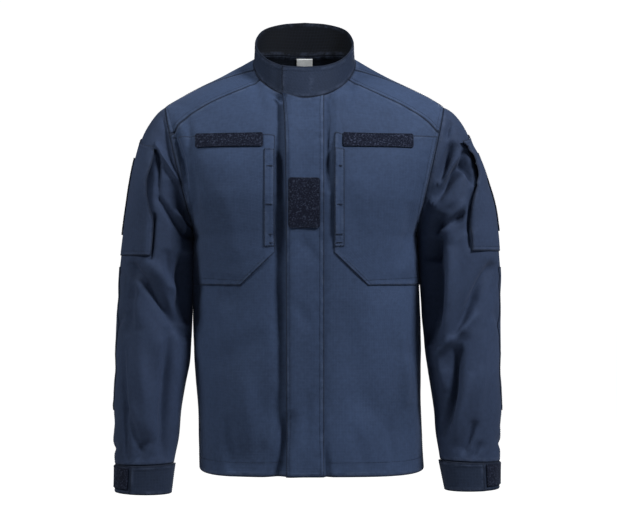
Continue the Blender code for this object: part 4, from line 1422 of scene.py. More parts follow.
# painted shade: collar and cuffs are darker still
SHADED_BAND_CLOTH = ShadedBandRipstopNavy(
    "ripstop_navy", (0.0118, 0.0185, 0.0370, 1.0), (0.055, 0.070, 0.115, 1.0), 0.80, 0.04
)
# its second colour is the pale flecks' painted highlight
LOOP_TAPE = LoopPileNavy(
    "loop_pile_navy", (0.0035, 0.0050, 0.0130, 1.0), (0.036, 0.044, 0.074, 1.0), 0.95, 0.05
)
THREAD = NavyThread("ripstop_navy", (0.012, 0.018, 0.036, 1.0), (0.1, 0.12, 0.2, 1.0), 0.6, 0.05)
LABEL = WovenLabel("label_white", (0.86, 0.86, 0.84, 1.0), (0.35, 0.34, 0.32, 1.0), 0.8, 0.1)


# ---------------------------------------------------------------- cloth as meshes

SEAM_DRAW = 0.19                         # each seam edge is drawn back by this
LIE = 0.3                                # clear space under what lies on a panel
SEAM_OVERLAP = 0.12                      # under the surface, the pieces of a seam meet by this
EDGE_ROUNDING = 0.4                      # of a piece's thickness
RIM_DEPTHS = (0.3, 0.7)                  # of a piece's thickness: the rings of its edge
# the rim mark places both the wear and the painted shade along the edges
EDGE_WEAR_AND_SHADE_REACH = 3.0                    # how far from an edge it fades
SAME_PLACE = 7                           # decimals by which two places are one
STITCH_STEP = 0.8                        # half the length over which a stitch's direction is taken


class Panel:
    """A piece of cloth: grids of places on a surface, closed to a wall with rounded edges."""

    def __init__(self, grids: Sequence[Array], form: Form, lifts: Optional[Sequence[Array]] = None) -> None:
        """Works out the outside's points.

        Args:
            grids: Places, each grid with rows, columns and two coordinates.
            form: The surface that they lie on.
            lifts: How far each place is moved out from the surface, a grid for each grid.
        """
        places = np.vstack([grid.reshape(-1, 2) for grid in grids])
        rounded = np.round(places, SAME_PLACE)
        _, first, same = np.unique(rounded, axis=0, return_index=True, return_inverse=True)
        self.walls = form.worn_facing(places[first])
        self.points = form.worn_points(places[first])
        if lifts is not None:
            lift = np.concatenate([grid.ravel() for grid in lifts])[first]
            self.points = self.points + self.walls * lift[:, None]
        ends = np.cumsum([grid[..., 0].size for grid in grids])[:-1]
        parts = np.split(same.ravel(), ends)
        self.grids = [part.reshape(grid.shape[:2]) for part, grid in zip(parts, grids)]
        self.faces, self.flat_places = self._faces()

    def _lengths(self, grid: int, axis: int) -> Array:
        """Lengths over the cloth from a grid's first row (axis 0) or first column (axis 1), in metres.

        Args:
            grid: A grid of points.
            axis: The axis along which they are measured.

        Returns:
            The lengths.
        """
        points = self.points[self.grids[grid]] * MM
        steps = np.linalg.norm(np.diff(points, axis=axis), axis=-1)
        return np.cumsum(np.insert(steps, 0, 0.0, axis=axis), axis=axis)

    def reach(self, axis: int, grid: int = 0) -> float:
        """A grid's greatest length over the cloth, up (axis 0) or across (axis 1), in metres."""
        return float(self._lengths(grid, axis).max())

    def _faces(self) -> tuple[Array, Array]:
        """The quads of all grids, turned outwards, and each corner's flat place in metres.

        Returns:
            The faces as rows of point numbers, and their corners' flat places.
        """
        faces, flats = [], []
        inner, outer = slice(None, -1), slice(1, None)
        corners = ((inner, inner), (inner, outer), (outer, outer), (outer, inner))
        for number, grid in enumerate(self.grids):
            flat = np.stack([self._lengths(number, 1), self._lengths(number, 0)], -1)
            quads = np.stack([grid[corner] for corner in corners], -1).reshape(-1, 4)
            spots = np.stack([flat[corner] for corner in corners], -2).reshape(-1, 4, 2)
            a, b, c = (self.points[quads[:, i]] for i in range(3))
            if (np.cross(b - a, c - a) * self.walls[quads[:, 0]]).sum() < 0:
                quads, spots = quads[:, ::-1], spots[:, ::-1]
            faces.append(quads)
            flats.append(spots)
        return np.vstack(faces), np.vstack(flats)

    def _border(self) -> Array:
        """The edges with a face on one side only, in the order of that face.

        Returns:
            The two point numbers of each edge.
        """
        count = len(self.points)
        starts = self.faces.ravel()
        ends = np.roll(self.faces, -1, axis=1).ravel()
        real = starts != ends
        starts, ends = starts[real], ends[real]
        alone = ~np.isin(starts * count + ends, ends * count + starts)
        return np.stack([starts[alone], ends[alone]], -1)

    def _inward(self, border: Array) -> Array:
        """For each point of the border the direction into the cloth, and zero elsewhere.

        Args:
            border: The border's edges.

        Returns:
            A direction for each of the panel's points.
        """
        pull = np.zeros_like(self.points)
        along = unit(self.points[border[:, 1]] - self.points[border[:, 0]])
        for corner in (0, 1):
            np.add.at(pull, border[:, corner], np.cross(self.walls[border[:, corner]], along))
        length = (pull ** 2).sum(-1, keepdims=True)
        return pull * (2 / np.maximum(length, 1.0))

    def build(self, name: str, thickness: float, draw: float = SEAM_DRAW) -> bpy.types.Object:
        """Makes the closed wall: outside, rounded rim and inside.

        Args:
            name: The object's name.
            thickness: The cloth's thickness.
            draw: How far its edges are drawn back.

        Returns:
            The object, without a material.
        """
        border = self._border()
        pull = self._inward(border)
        rim = np.unique(border)
        count = len(self.points)
        depth = self.walls * thickness
        outside = self.points + pull * (draw + EDGE_ROUNDING * thickness)
        inside = self.points - pull * SEAM_OVERLAP if draw else outside
        edge = self.points[rim] + pull[rim] * draw
        joined = self.points[rim] - pull[rim] * SEAM_OVERLAP if draw else edge
        rings = [ring - depth[rim] * share for ring, share in zip((edge, joined), RIM_DEPTHS)]
        points = np.vstack([outside, inside - depth, *rings])
        faces, spots = self._wall_faces(border, rim)
        mesh = bpy.data.meshes.new(name)
        mesh.from_pydata((points * MM).tolist(), [], faces)
        layer = mesh.uv_layers.new(name=CLOTH_MAP)
        layer.data.foreach_set("uv", np.array([place for spot in spots for place in spot]).ravel())
        near = np.ones(len(points))
        near[:count] = np.exp(-distances(outside, outside[rim]) / EDGE_WEAR_AND_SHADE_REACH)
        near[count:2 * count] = near[:count]
        within = np.zeros(len(points))
        within[count:2 * count] = 1.0
        for label, values in ((RIM, near), (INSIDE, within)):
            mesh.attributes.new(label, "FLOAT", "POINT").data.foreach_set("value", values)
        mesh.validate()
        return add_object(name, mesh)

    def _wall_faces(self, border: Array, rim: Array) -> tuple[list[tuple], list[tuple]]:
        """The faces of outside, inside and rim, and their corners' flat places.

        Args:
            border: The border's edges.
            rim: The border's points, whose rings follow the outside's and the inside's points.

        Returns:
            The faces and, for each, its corners' flat places.
        """
        count = len(self.points)
        ring_starts = (2 * count, 2 * count + len(rim))
        place_in_rim = np.zeros(count, int)
        place_in_rim[rim] = np.arange(len(rim))
        faces, spots = without_doubles(self.faces, self.flat_places)
        all_faces = faces + [tuple(corner + count for corner in face[::-1]) for face in faces]
        all_spots = spots + [spot[::-1] for spot in spots]
        flat_of = {corner: place for face, spot in zip(faces, spots) for corner, place in zip(face, spot)}
        for a, b in border.tolist():
            down_a, down_b = (
                (corner, *(start + place_in_rim[corner] for start in ring_starts), corner + count)
                for corner in (a, b)
            )
            for k in range(3):
                all_faces.append((down_b[k], down_a[k], down_a[k + 1], down_b[k + 1]))
                all_spots.append((flat_of[b], flat_of[a], flat_of[a], flat_of[b]))
        return all_faces, all_spots

    def line(self, edge: Edge, distance: float, reach: Span = (0.0, 1.0), grid: int = 0) -> Array:
        """A line that runs beside an edge of a grid, at a distance measured over the cloth.

        Args:
            edge: The edge that it follows.
            distance: Millimetres from the edge.
            reach: The shares of the edge's length between which it runs.
            grid: Which of the panel's grids.

        Returns:
            Points and facings, six numbers each.
        """
        rows = np.concatenate([self.points, self.walls], -1)[self.grids[grid]]
        if edge in (Edge.TOP, Edge.BOTTOM):
            rows = rows.transpose(1, 0, 2)
        if edge in (Edge.TOP, Edge.LAST):
            rows = rows[:, ::-1]
        steps = np.linalg.norm(np.diff(rows[..., :3], axis=1), axis=-1)
        along = np.cumsum(np.insert(steps, 0, 0.0, axis=1), axis=1)
        after = np.clip(np.argmax(along >= distance, axis=1), 1, None)
        row = np.arange(len(rows))
        before = along[row, after - 1]
        share = ((distance - before) / np.maximum(along[row, after] - before, 1e-6))[:, None]
        return stretch_of(rows[row, after - 1] * (1 - share) + rows[row, after] * share, reach)


def add_object(name: str, data: bpy.types.ID) -> bpy.types.Object:
    """Puts a mesh, smoothly shaded, or other data in the scene.

    Args:
        name: The object's name.
        data: What it holds.

    Returns:
        The object.
    """
    if isinstance(data, bpy.types.Mesh):
        data.shade_smooth()
    thing = bpy.data.objects.new(name, data)
    bpy.context.scene.collection.objects.link(thing)
    return thing


def without_doubles(faces: Array, spots: Array) -> tuple[list[tuple], list[tuple]]:
    """The faces with each corner once; faces with two corners are left out.

    Args:
        faces: Faces as rows of point numbers.
        spots: Their corners' flat places.

    Returns:
        The faces that are left, and their corners' flat places.
    """
    kept_faces, kept_spots = [], []
    for face, spot in zip(faces.tolist(), spots.tolist()):
        once = {corner: tuple(place) for corner, place in zip(face[::-1], spot[::-1])}
        if len(once) > 2:
            kept_faces.append(tuple(once)[::-1])
            kept_spots.append(tuple(once.values())[::-1])
    return kept_faces, kept_spots


def distances(points: Array, marks: Array) -> Array:
    """How far each point is from the nearest of some marks.

    Args:
        points: Points.
        marks: The points to measure to.

    Returns:
        A distance for each point.
    """
    tree = KDTree(len(marks))
    for index, mark in enumerate(marks):
        tree.insert(mark, index)
    tree.balance()
    return np.array([tree.find(point)[2] for point in points])


def lengths_along(line: Array) -> Array:
    """The length from a line's start to each of its points."""
    return np.insert(np.cumsum(np.linalg.norm(np.diff(line[:, :3], axis=0), axis=1)), 0, 0.0)


def resample(line: Array, lengths: Array, wanted: Array) -> Array:
    """Rows of a line at wanted lengths along it."""
    return np.stack([np.interp(wanted, lengths, line[:, i]) for i in range(line.shape[1])], -1)


def stretch_of(line: Array, reach: Span) -> Array:
    """The stretch of a line between two shares of its length.

    Args:
        line: A line of points.
        reach: The shares of its length between which it is kept.

    Returns:
        The stretch of the line.
    """
    lengths = lengths_along(line)
    low, high = (lengths[-1] * share for share in reach)
    wanted = np.concatenate([[low], lengths[(lengths > low) & (lengths < high)], [high]])
    return resample(line, lengths, wanted)


# ---------------------------------------------------------------- sewing

@dataclass(frozen=True)
class Thread:
    """Lockstitch thread: its finish, and its stitches' pitch, length, half thickness and rise."""

    finish: Finish = THREAD
    pitch: float = 3.5
    fine_pitch: float = 2.8
    length: float = 2.7
    half_thickness: float = 0.27
    rise: float = 0.16
    flatness: float = 0.7
    bar_pitch: float = 0.75
    bar_width: float = 2.6
    bar_stoutness: float = 1.25


class Sewing:
    """Rows of stitches that lie on one sub-assembly, joined in one mesh."""

    SHAPE = ((-0.5, -0.30, 0.55), (-0.30, 0.6, 1.0), (0.30, 0.6, 1.0), (0.5, -0.30, 0.55))

    def __init__(self, name: str, thread: Thread = Thread()) -> None:
        """Starts with no rows.

        Args:
            name: The object's name.
            thread: The thread's sizes.
        """
        self.name = name
        self.thread = thread
        self.stitches: list[tuple[Array, float, float]] = []

    def row(self, line: Array, fine: bool = False) -> None:
        """Adds a row of stitches along a line.

        Args:
            line: Points and facings.
            fine: Whether the stitches are the close ones that hold a tape.
        """
        lengths = lengths_along(line)
        count = int(lengths[-1] // (self.thread.fine_pitch if fine else self.thread.pitch))
        if count < 1:
            return
        middles = (np.arange(count) + 0.5) * lengths[-1] / count
        spots = resample(line, lengths, middles)
        ahead = resample(line, lengths, np.minimum(middles + STITCH_STEP, lengths[-1]))[:, :3]
        behind = resample(line, lengths, np.maximum(middles - STITCH_STEP, 0))[:, :3]
        self.stitches.append((np.concatenate([spots, unit(ahead - behind)], -1), self.thread.length, 1.0))

    def border(self, panel: Panel, rows: Sequence[float], edges: Iterable[Edge] = Edge) -> None:
        """Adds rows of stitches beside edges of a panel.

        Args:
            panel: The panel.
            rows: Each row's distance from the edge.
            edges: The edges, all of them if none are named.
        """
        for edge in edges:
            for row in rows:
                self.row(panel.line(edge, row))

    def tape(self, panel: Panel, distance: float = 1.8) -> None:
        """Adds the close stitches round a tape."""
        for edge in Edge:
            self.row(panel.line(edge, distance), fine=True)

    def bar(self, middle: Array, along: Array, length: float) -> None:
        """Adds a bar tack: close stitches side by side across a direction.

        Args:
            middle: Its middle point and facing.
            along: The direction of the bar.
            length: The bar's length.
        """
        way = unit(along - middle[3:] * (along @ middle[3:]))
        across = np.cross(middle[3:], way)
        thread = self.thread
        for step in np.arange(-length / 2, length / 2, thread.bar_pitch):
            spot = np.concatenate([middle[:3] + way * step, middle[3:], across])[None]
            self.stitches.append((spot, thread.bar_width, thread.bar_stoutness))

    def _rings(self) -> Array:
        """The points of all stitches.

        Returns:
            Points, four for each ring of a stitch's shape, one stitch after another.
        """
        corners = [(math.cos(a), math.sin(a)) for a in np.arange(4) * math.pi / 2 + math.pi / 4]
        made = []
        for spots, length, stout in self.stitches:
            point, facing, way = spots[:, :3], spots[:, 3:6], spots[:, 6:9]
            across = np.cross(way, facing)
            half = self.thread.half_thickness * stout
            blocks = []
            for share, rise, width in self.SHAPE:
                middle = point + way * share * length + facing * (rise * half + self.thread.rise)
                for side, up in corners:
                    aside = across * side * half * width
                    blocks.append(middle + aside + facing * up * half * width * self.thread.flatness)
            made.append(np.stack(blocks, 1).reshape(-1, 3))
        return np.vstack(made)

    def build(self) -> None:
        """Makes the thread's mesh, riding on the root."""
        points = self._rings()
        rings = len(self.SHAPE) * 4
        first = np.arange(len(points) // rings)[:, None] * rings
        quads = [
            [4 * ring + k, 4 * ring + (k + 1) % 4, 4 * ring + 4 + (k + 1) % 4, 4 * ring + 4 + k]
            for ring in range(len(self.SHAPE) - 1) for k in range(4)
        ] + [[3, 2, 1, 0], [rings - 4, rings - 3, rings - 2, rings - 1]]
        faces = (first[:, None] + np.array(quads)[None]).reshape(-1, 4)
        mesh = bpy.data.meshes.new(self.name)
        mesh.from_pydata((points * MM).tolist(), [], faces.tolist())
        finish = self.thread.finish
        mesh.materials.append(finish.material())
        piece = add_object(self.name, mesh)
        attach(piece, ROOT)
        LOG.info("%s: %d stitches", self.name, len(first))


# ---------------------------------------------------------------- laying the cloth

def lay(
    panel: Panel,
    node: str,
    thickness: float,
    finish: Finish,
    carriers: Sequence[str] = (),
    draw: float = 0.0,
    flat: Optional[Span] = None,
) -> None:
    """Builds a piece of cloth in a node's place and states the size of its cut.

    Args:
        panel: The piece's form.
        node: The node that it stands for.
        thickness: The cloth's thickness.
        finish: Its finish.
        carriers: The nodes whose pieces carry it.
        draw: How far its edges are drawn back, for a seam.
        flat: Width and length of the cut in metres, if they aren't those of its one grid.
    """
    piece = panel.build(cloth_name(node), thickness, draw)
    piece.data.materials.append(finish.material())
    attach(piece, ROOT)
    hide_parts(node)
    width, length = flat or (panel.reach(1), panel.reach(0))
    rests_on = map(cloth_name, carriers)
    list(rests_on)
    LOG.info("%s: %d faces, cut %.3f x %.3f m", piece.name, len(piece.data.polygons), width, length)


def cloth_name(node: str) -> str:
    """The name of the piece that stands for a node."""
    return node + "_cloth"


# ---------------------------------------------------------------- the body's panels

@dataclass(frozen=True)
class BodyPanels:
    """Fronts, front yokes and back."""

    body: BodyForm
    division: Division
    wall: float = 2.0
    front_hem_share: float = 0.25
    back_hem_share: float = 0.70
    hem_turn_up: float = 24.0
    seam_row: float = 2.6
    second_row: float = 8.5
    front_step: float = 1.05             # a row beside the armhole, of the height of one below it
    back_step: float = 0.95

    def _below_arm(self, arm_rows: int, step: float) -> float:
        """The share of a panel's side that lies below the armhole."""
        return self.division.side_rows / (self.division.side_rows + arm_rows * step)

    def _rising(self, hem: Array, top: Array, top_level: Array, arm_rows: int, arm_level: float) -> Array:
        """A grid whose columns rise from the hem past the underarm.

        Args:
            hem: Where each column starts, round the body.
            top: Where it ends.
            top_level: The level at which it ends.
            arm_rows: How many steps lie beside the armhole.
            arm_level: The level up to which the panel goes along the armhole.

        Returns:
            The grid's places.
        """
        rows = np.concatenate([
            np.linspace(0, 1, self.division.side_rows + 1)[:-1],
            np.linspace(1, arm_level, arm_rows + 1),
        ])[:, None] / arm_level
        return np.stack([hem[None] + (top - hem)[None] * rows ** 3, rows * top_level[None]], -1)

    def _front_grid(self, side: int) -> Array:
        """Places of a front: columns from the centre to the side, rows from the hem up.

        Args:
            side: The wearer's side.

        Returns:
            A grid of places.
        """
        neck = np.linspace(0, 1, self.division.front_neck + 1)[:-1]
        seam = np.linspace(0, 1, self.division.yoke + 1)
        seam_places = self.body.yoke_seam(seam)
        top = np.concatenate([neck * self.body.yoke_neck, seam_places[:, 0]])
        top_level = np.concatenate([np.full(len(neck), 3.0), seam_places[:, 1]])
        share = self.front_hem_share
        hem = np.concatenate([neck * share, share + seam * (1 - share)])
        grid = self._rising(hem, top, top_level, self.division.arm_front, self.body.yoke_level)
        grid[..., 0] *= side
        return grid

    def _yoke_grid(self, side: int) -> Array:
        """Places of a front yoke: columns from the neck to the armhole, rows up to the shoulder.

        Args:
            side: The wearer's side.

        Returns:
            A grid of places.
        """
        across = np.linspace(0, 1, self.division.yoke + 1)
        bottom = self.body.yoke_seam(across)
        top = np.stack([between(self.body.shoulder_neck, 1, across), 3 - across], -1)
        rows = np.linspace(0, 1, self.division.arm_yoke + 1)[:, None, None]
        grid = between(bottom[None], top[None], rows)
        grid[..., 0] *= side
        return grid

    def _back_grids(self) -> list[Array]:
        """Places of the back: on each side a half up to the ridge and a strip over it.

        Returns:
            Grids of places.
        """
        division = self.division
        seam = np.linspace(0, 1, division.yoke + 1)
        neck = np.linspace(0, 1, division.back_neck + 1)[1:]
        top = np.concatenate([np.ones(len(seam)), 1 + neck])
        top_level = np.concatenate([2 + seam, np.full(len(neck), 3.0)])
        share = self.back_hem_share
        hem = 1 + np.concatenate([seam * share, share + neck * (1 - share)])
        left = self._rising(hem, top, top_level, division.arm_back, 2)
        over = np.linspace(0, 1, division.ridge + 1)[:, None]
        strip_turn = 1 - over * (1 - self.body.shoulder_neck) * seam[None]
        strip = np.stack([strip_turn, np.broadcast_to(2 + seam, strip_turn.shape)], -1)
        grids = [left, strip]
        for half in (left, strip):
            other = half[:, ::-1].copy()
            other[..., 0] = 4 - other[..., 0]
            grids.append(other)
        return grids

    def build(self) -> None:
        """Makes the panels and the sewing along their seams."""
        both_rows = (self.seam_row, self.second_row)
        side_share = self._below_arm(self.division.arm_front, self.front_step)
        for side in Side:
            label = side.label
            yoke = Panel([self._yoke_grid(side.value)], self.body)
            lay(yoke, "yoke_" + label, self.wall, CLOTH, ["back"], SEAM_DRAW)
            front = Panel([self._front_grid(side.value)], self.body)
            lay(front, "front_" + label, self.wall, CLOTH, ["yoke_" + label], SEAM_DRAW)
            sewing = Sewing("front_stitches_" + label)
            sewing.border(yoke, both_rows, (Edge.BOTTOM, Edge.LAST))
            sewing.border(yoke, (self.seam_row,), (Edge.TOP,))
            for row in both_rows:
                sewing.row(front.line(Edge.LAST, row, (side_share, 1.0)))
            sewing.row(front.line(Edge.LAST, self.seam_row, (0.0, side_share)))
            sewing.row(front.line(Edge.BOTTOM, self.hem_turn_up))
            sewing.build()
        self._back()

    def _back(self) -> None:
        """Makes the back and its sewing."""
        back = Panel(self._back_grids(), self.body.rear)
        width = back.reach(1, 0) + back.reach(1, 2)
        length = back.reach(0, 0) + back.reach(0, 1)
        lay(back, "back", self.wall, CLOTH, [], SEAM_DRAW, (width, length))
        sewing = Sewing("back_stitches")
        arm_share = self._below_arm(self.division.arm_back, self.back_step)
        for grid, edge in ((0, Edge.FIRST), (2, Edge.LAST)):
            sewing.row(back.line(Edge.BOTTOM, self.hem_turn_up, grid=grid))
            sewing.row(back.line(edge, self.seam_row, (0.0, arm_share), grid))
            for row in (self.seam_row, self.second_row):
                sewing.row(back.line(edge, row, (arm_share, 1.0), grid))
                sewing.row(back.line(Edge.TOP, row, grid=grid + 1))
        sewing.build()


# ---------------------------------------------------------------- what lies on the fronts

@dataclass(frozen=True)
class ChestPockets:
    """The large pockets with a cut-off lower corner, their welts and the tapes above."""

    body: BodyForm
    cloth: float = 1.2
    welt: float = 1.0
    tape: float = 2.0
    top_z: float = -133.0
    bottom_z: float = -383.0
    inner_x: float = 49.0
    cut_from_z: float = -328.0
    cut_to_x: float = 106.0
    side: float = 0.972
    opening_z: Span = (-306.0, -150.0)
    opening_rise: float = 3.4
    opening_reach: float = 9.0
    fullness: float = 2.6
    full_width: float = 140.0
    welt_width: float = 17.0
    welt_z: Span = (-318.0, -158.0)
    tape_x: Span = (63.0, 181.0)
    right_tape_in: float = 4.5
    tape_z: Span = (-154.0, -131.0)
    tack_z: tuple[float, ...] = (-187.0, -248.0, -299.0, -314.0)
    tack: float = 11.0
    bottom_rows: Span = (2.2, 13.0)
    side_rows: Span = (2.2, 8.5)
    top_row: float = 2.2
    short_rows: tuple[Span, ...] = ((2.0, 0.28), (8.0, 0.25))    # below the opening: in from the edge, up
    columns: int = 40
    cut_rows: int = 12
    upper_rows: int = 42
    row_height: float = 4.5

    def pocket_places(self, side: Side) -> Array:
        """Places of a pocket: columns from the inner edge to the side, rows from the bottom.

        Args:
            side: The wearer's side.

        Returns:
            A grid of places.
        """
        low = between(self.bottom_z, self.cut_from_z, np.linspace(0, 1, self.cut_rows + 1))
        high = between(self.cut_from_z, self.top_z, np.linspace(0, 1, self.upper_rows + 1)[1:])
        z = np.concatenate([low, high])
        cut = np.clip((self.cut_from_z - z) / (self.cut_from_z - self.bottom_z), 0, 1)
        start = self.body.place_at(side.value * between(self.inner_x, self.cut_to_x, cut), z)[:, :1]
        around = between(start, side.value * self.side, clustered(self.columns)[None])
        return np.stack([around, self.body.level_at(around, z[:, None])], -1)

    def lift(self, x: Array, z: Array) -> Array:
        """How far a pocket's outside is from the front: most along its open inner edge.

        Args:
            x: Distances from the centre plane.
            z: Heights.

        Returns:
            A distance for each place.
        """
        middle, half = sum(self.opening_z) / 2, (self.opening_z[1] - self.opening_z[0]) / 2
        along = 1 - ease(np.abs(z - middle) / half, 0.75, 1.05)
        at_edge = np.exp(-((np.abs(x) - self.inner_x) / self.opening_reach) ** 2)
        across = np.clip((np.abs(x) - self.inner_x) / self.full_width, 0, 1)
        height = np.clip((z - self.bottom_z) / (self.top_z - self.bottom_z), 0, 1)
        full = self.fullness * np.sin(math.pi * across) * np.sin(math.pi * height) ** 0.8
        return LIE + self.cloth + self.opening_rise * along * at_edge + full

    def _on_pocket(self, places: Array, extra: float) -> Panel:
        """A panel on a pocket, moved out further."""
        spots = self.body.points(places[..., 0], places[..., 1])
        return Panel([places], self.body, [self.lift(spots[..., 0], spots[..., 2]) + extra])

    def _patch(self, side: Side, x: Span, z: Span, radius: float, thickness: float, columns: int) -> Panel:
        """A strip or tape on a pocket, with round corners.

        Args:
            side: Which pocket.
            x: From and to, counted from the centre plane.
            z: From and to.
            radius: The corners' radius.
            thickness: The cloth's thickness.
            columns: How many steps lie across.

        Returns:
            The panel.
        """
        rows = max(6, int((z[1] - z[0]) / self.row_height))
        across, heights = rounded_patch(x, z, radius, rows, clustered(columns, 0.4))
        return self._on_pocket(self.body.place_at(side.value * across, heights), LIE + thickness)

    def build(self) -> None:
        """Makes both pockets with their welts, tapes and sewing."""
        for side in Side:
            label, carrier = side.label, ["chest_pocket_" + side.label]
            pocket = self._on_pocket(self.pocket_places(side), 0.0)
            lay(pocket, carrier[0], self.cloth, CLOTH, ["front_" + label])
            welt_x = (self.inner_x, self.inner_x + self.welt_width)
            welt = self._patch(side, welt_x, self.welt_z, 1.5, self.welt, 6)
            lay(welt, "pocket_welt_" + label, self.welt, CLOTH, carrier)
            inner = self.tape_x[0] + (self.right_tape_in if side is Side.RIGHT else 0.0)
            tape = self._patch(side, (inner, self.tape_x[1]), self.tape_z, 3.0, self.tape, 28)
            lay(tape, "name_tape_" + label, self.tape, LOOP_TAPE, carrier)
            self._sew(label, pocket, welt, tape)

    def _sew(self, label: str, pocket: Panel, welt: Panel, tape: Panel) -> None:
        """Sews a pocket, its welt and its tape.

        Args:
            label: The side's name.
            pocket: The pocket.
            welt: The welt.
            tape: The tape.
        """
        sewing = Sewing("chest_pocket_stitches_" + label)
        sewing.border(pocket, self.bottom_rows, (Edge.BOTTOM,))
        sewing.border(pocket, self.side_rows, (Edge.LAST,))
        sewing.border(pocket, (self.top_row,), (Edge.TOP,))
        for row, reach in self.short_rows:
            sewing.row(pocket.line(Edge.FIRST, row, (0.0, reach)))
        sewing.border(welt, (1.8,))
        sewing.tape(tape, 1.7)
        middle = welt.line(Edge.FIRST, self.welt_width / 2)
        for z in self.tack_z:
            spot = middle[np.argmin(np.abs(middle[:, 2] - z))]
            sewing.bar(spot, np.array([1.0, 0.0, 0.0]), self.tack)
        sewing.build()


@dataclass(frozen=True)
class StormFlap:
    """The flap over the closing, free along the wearer's right, with the square patch on it."""

    body: BodyForm
    cloth: float = 2.6
    patch: float = 2.0
    free_x: float = -30.0
    free_x_top: float = -36.5
    sewn_x: float = 33.0
    top_level: float = 2.982
    stand: float = 6.0
    rank_x: Span = (-26.0, 26.0)
    rank_z: Span = (-288.0, -206.0)
    rank_corner: float = 5.0
    rank_rows: int = 16
    rank_columns: int = 12
    rows: int = 170
    columns: int = 18

    def _panel(self, places: Array, x: Array, extra: float) -> Panel:
        """A panel on the flap, whose free edge stands off the fronts."""
        lift = LIE + self.cloth + self.stand * (1 - ease(x, self.free_x, 0.0))
        return Panel([places], self.body, [np.broadcast_to(lift + extra, places.shape[:2])])

    def build(self) -> None:
        """Makes the flap, its patch and their sewing."""
        level = np.linspace(0, self.top_level, self.rows + 1)[:, None]
        free_x = between(self.free_x, self.free_x_top, (level / self.top_level) ** 3)
        x, level = paired(between(free_x, self.sewn_x, clustered(self.columns, 0.5)), level)
        flap = self._panel(np.stack([self.body.around_at(x, level), level], -1), x, 0.0)
        lay(flap, "storm_flap", self.cloth, CLOTH, ["front_left", "front_right"])
        shares = clustered(self.rank_columns, 0.3)
        x, z = rounded_patch(self.rank_x, self.rank_z, self.rank_corner, self.rank_rows, shares)
        rank = self._panel(self.body.place_at(x, z), x, LIE + self.patch)
        lay(rank, "rank_loop", self.patch, LOOP_TAPE, ["storm_flap"])
        sewing = Sewing("storm_flap_stitches")
        for edge, rows in ((Edge.LAST, (1.6, 8.0)), (Edge.FIRST, (2.0, 7.5)), (Edge.BOTTOM, (3.0,))):
            sewing.border(flap, rows, (edge,))
        sewing.tape(rank)
        sewing.build()


# ---------------------------------------------------------------- collar and label

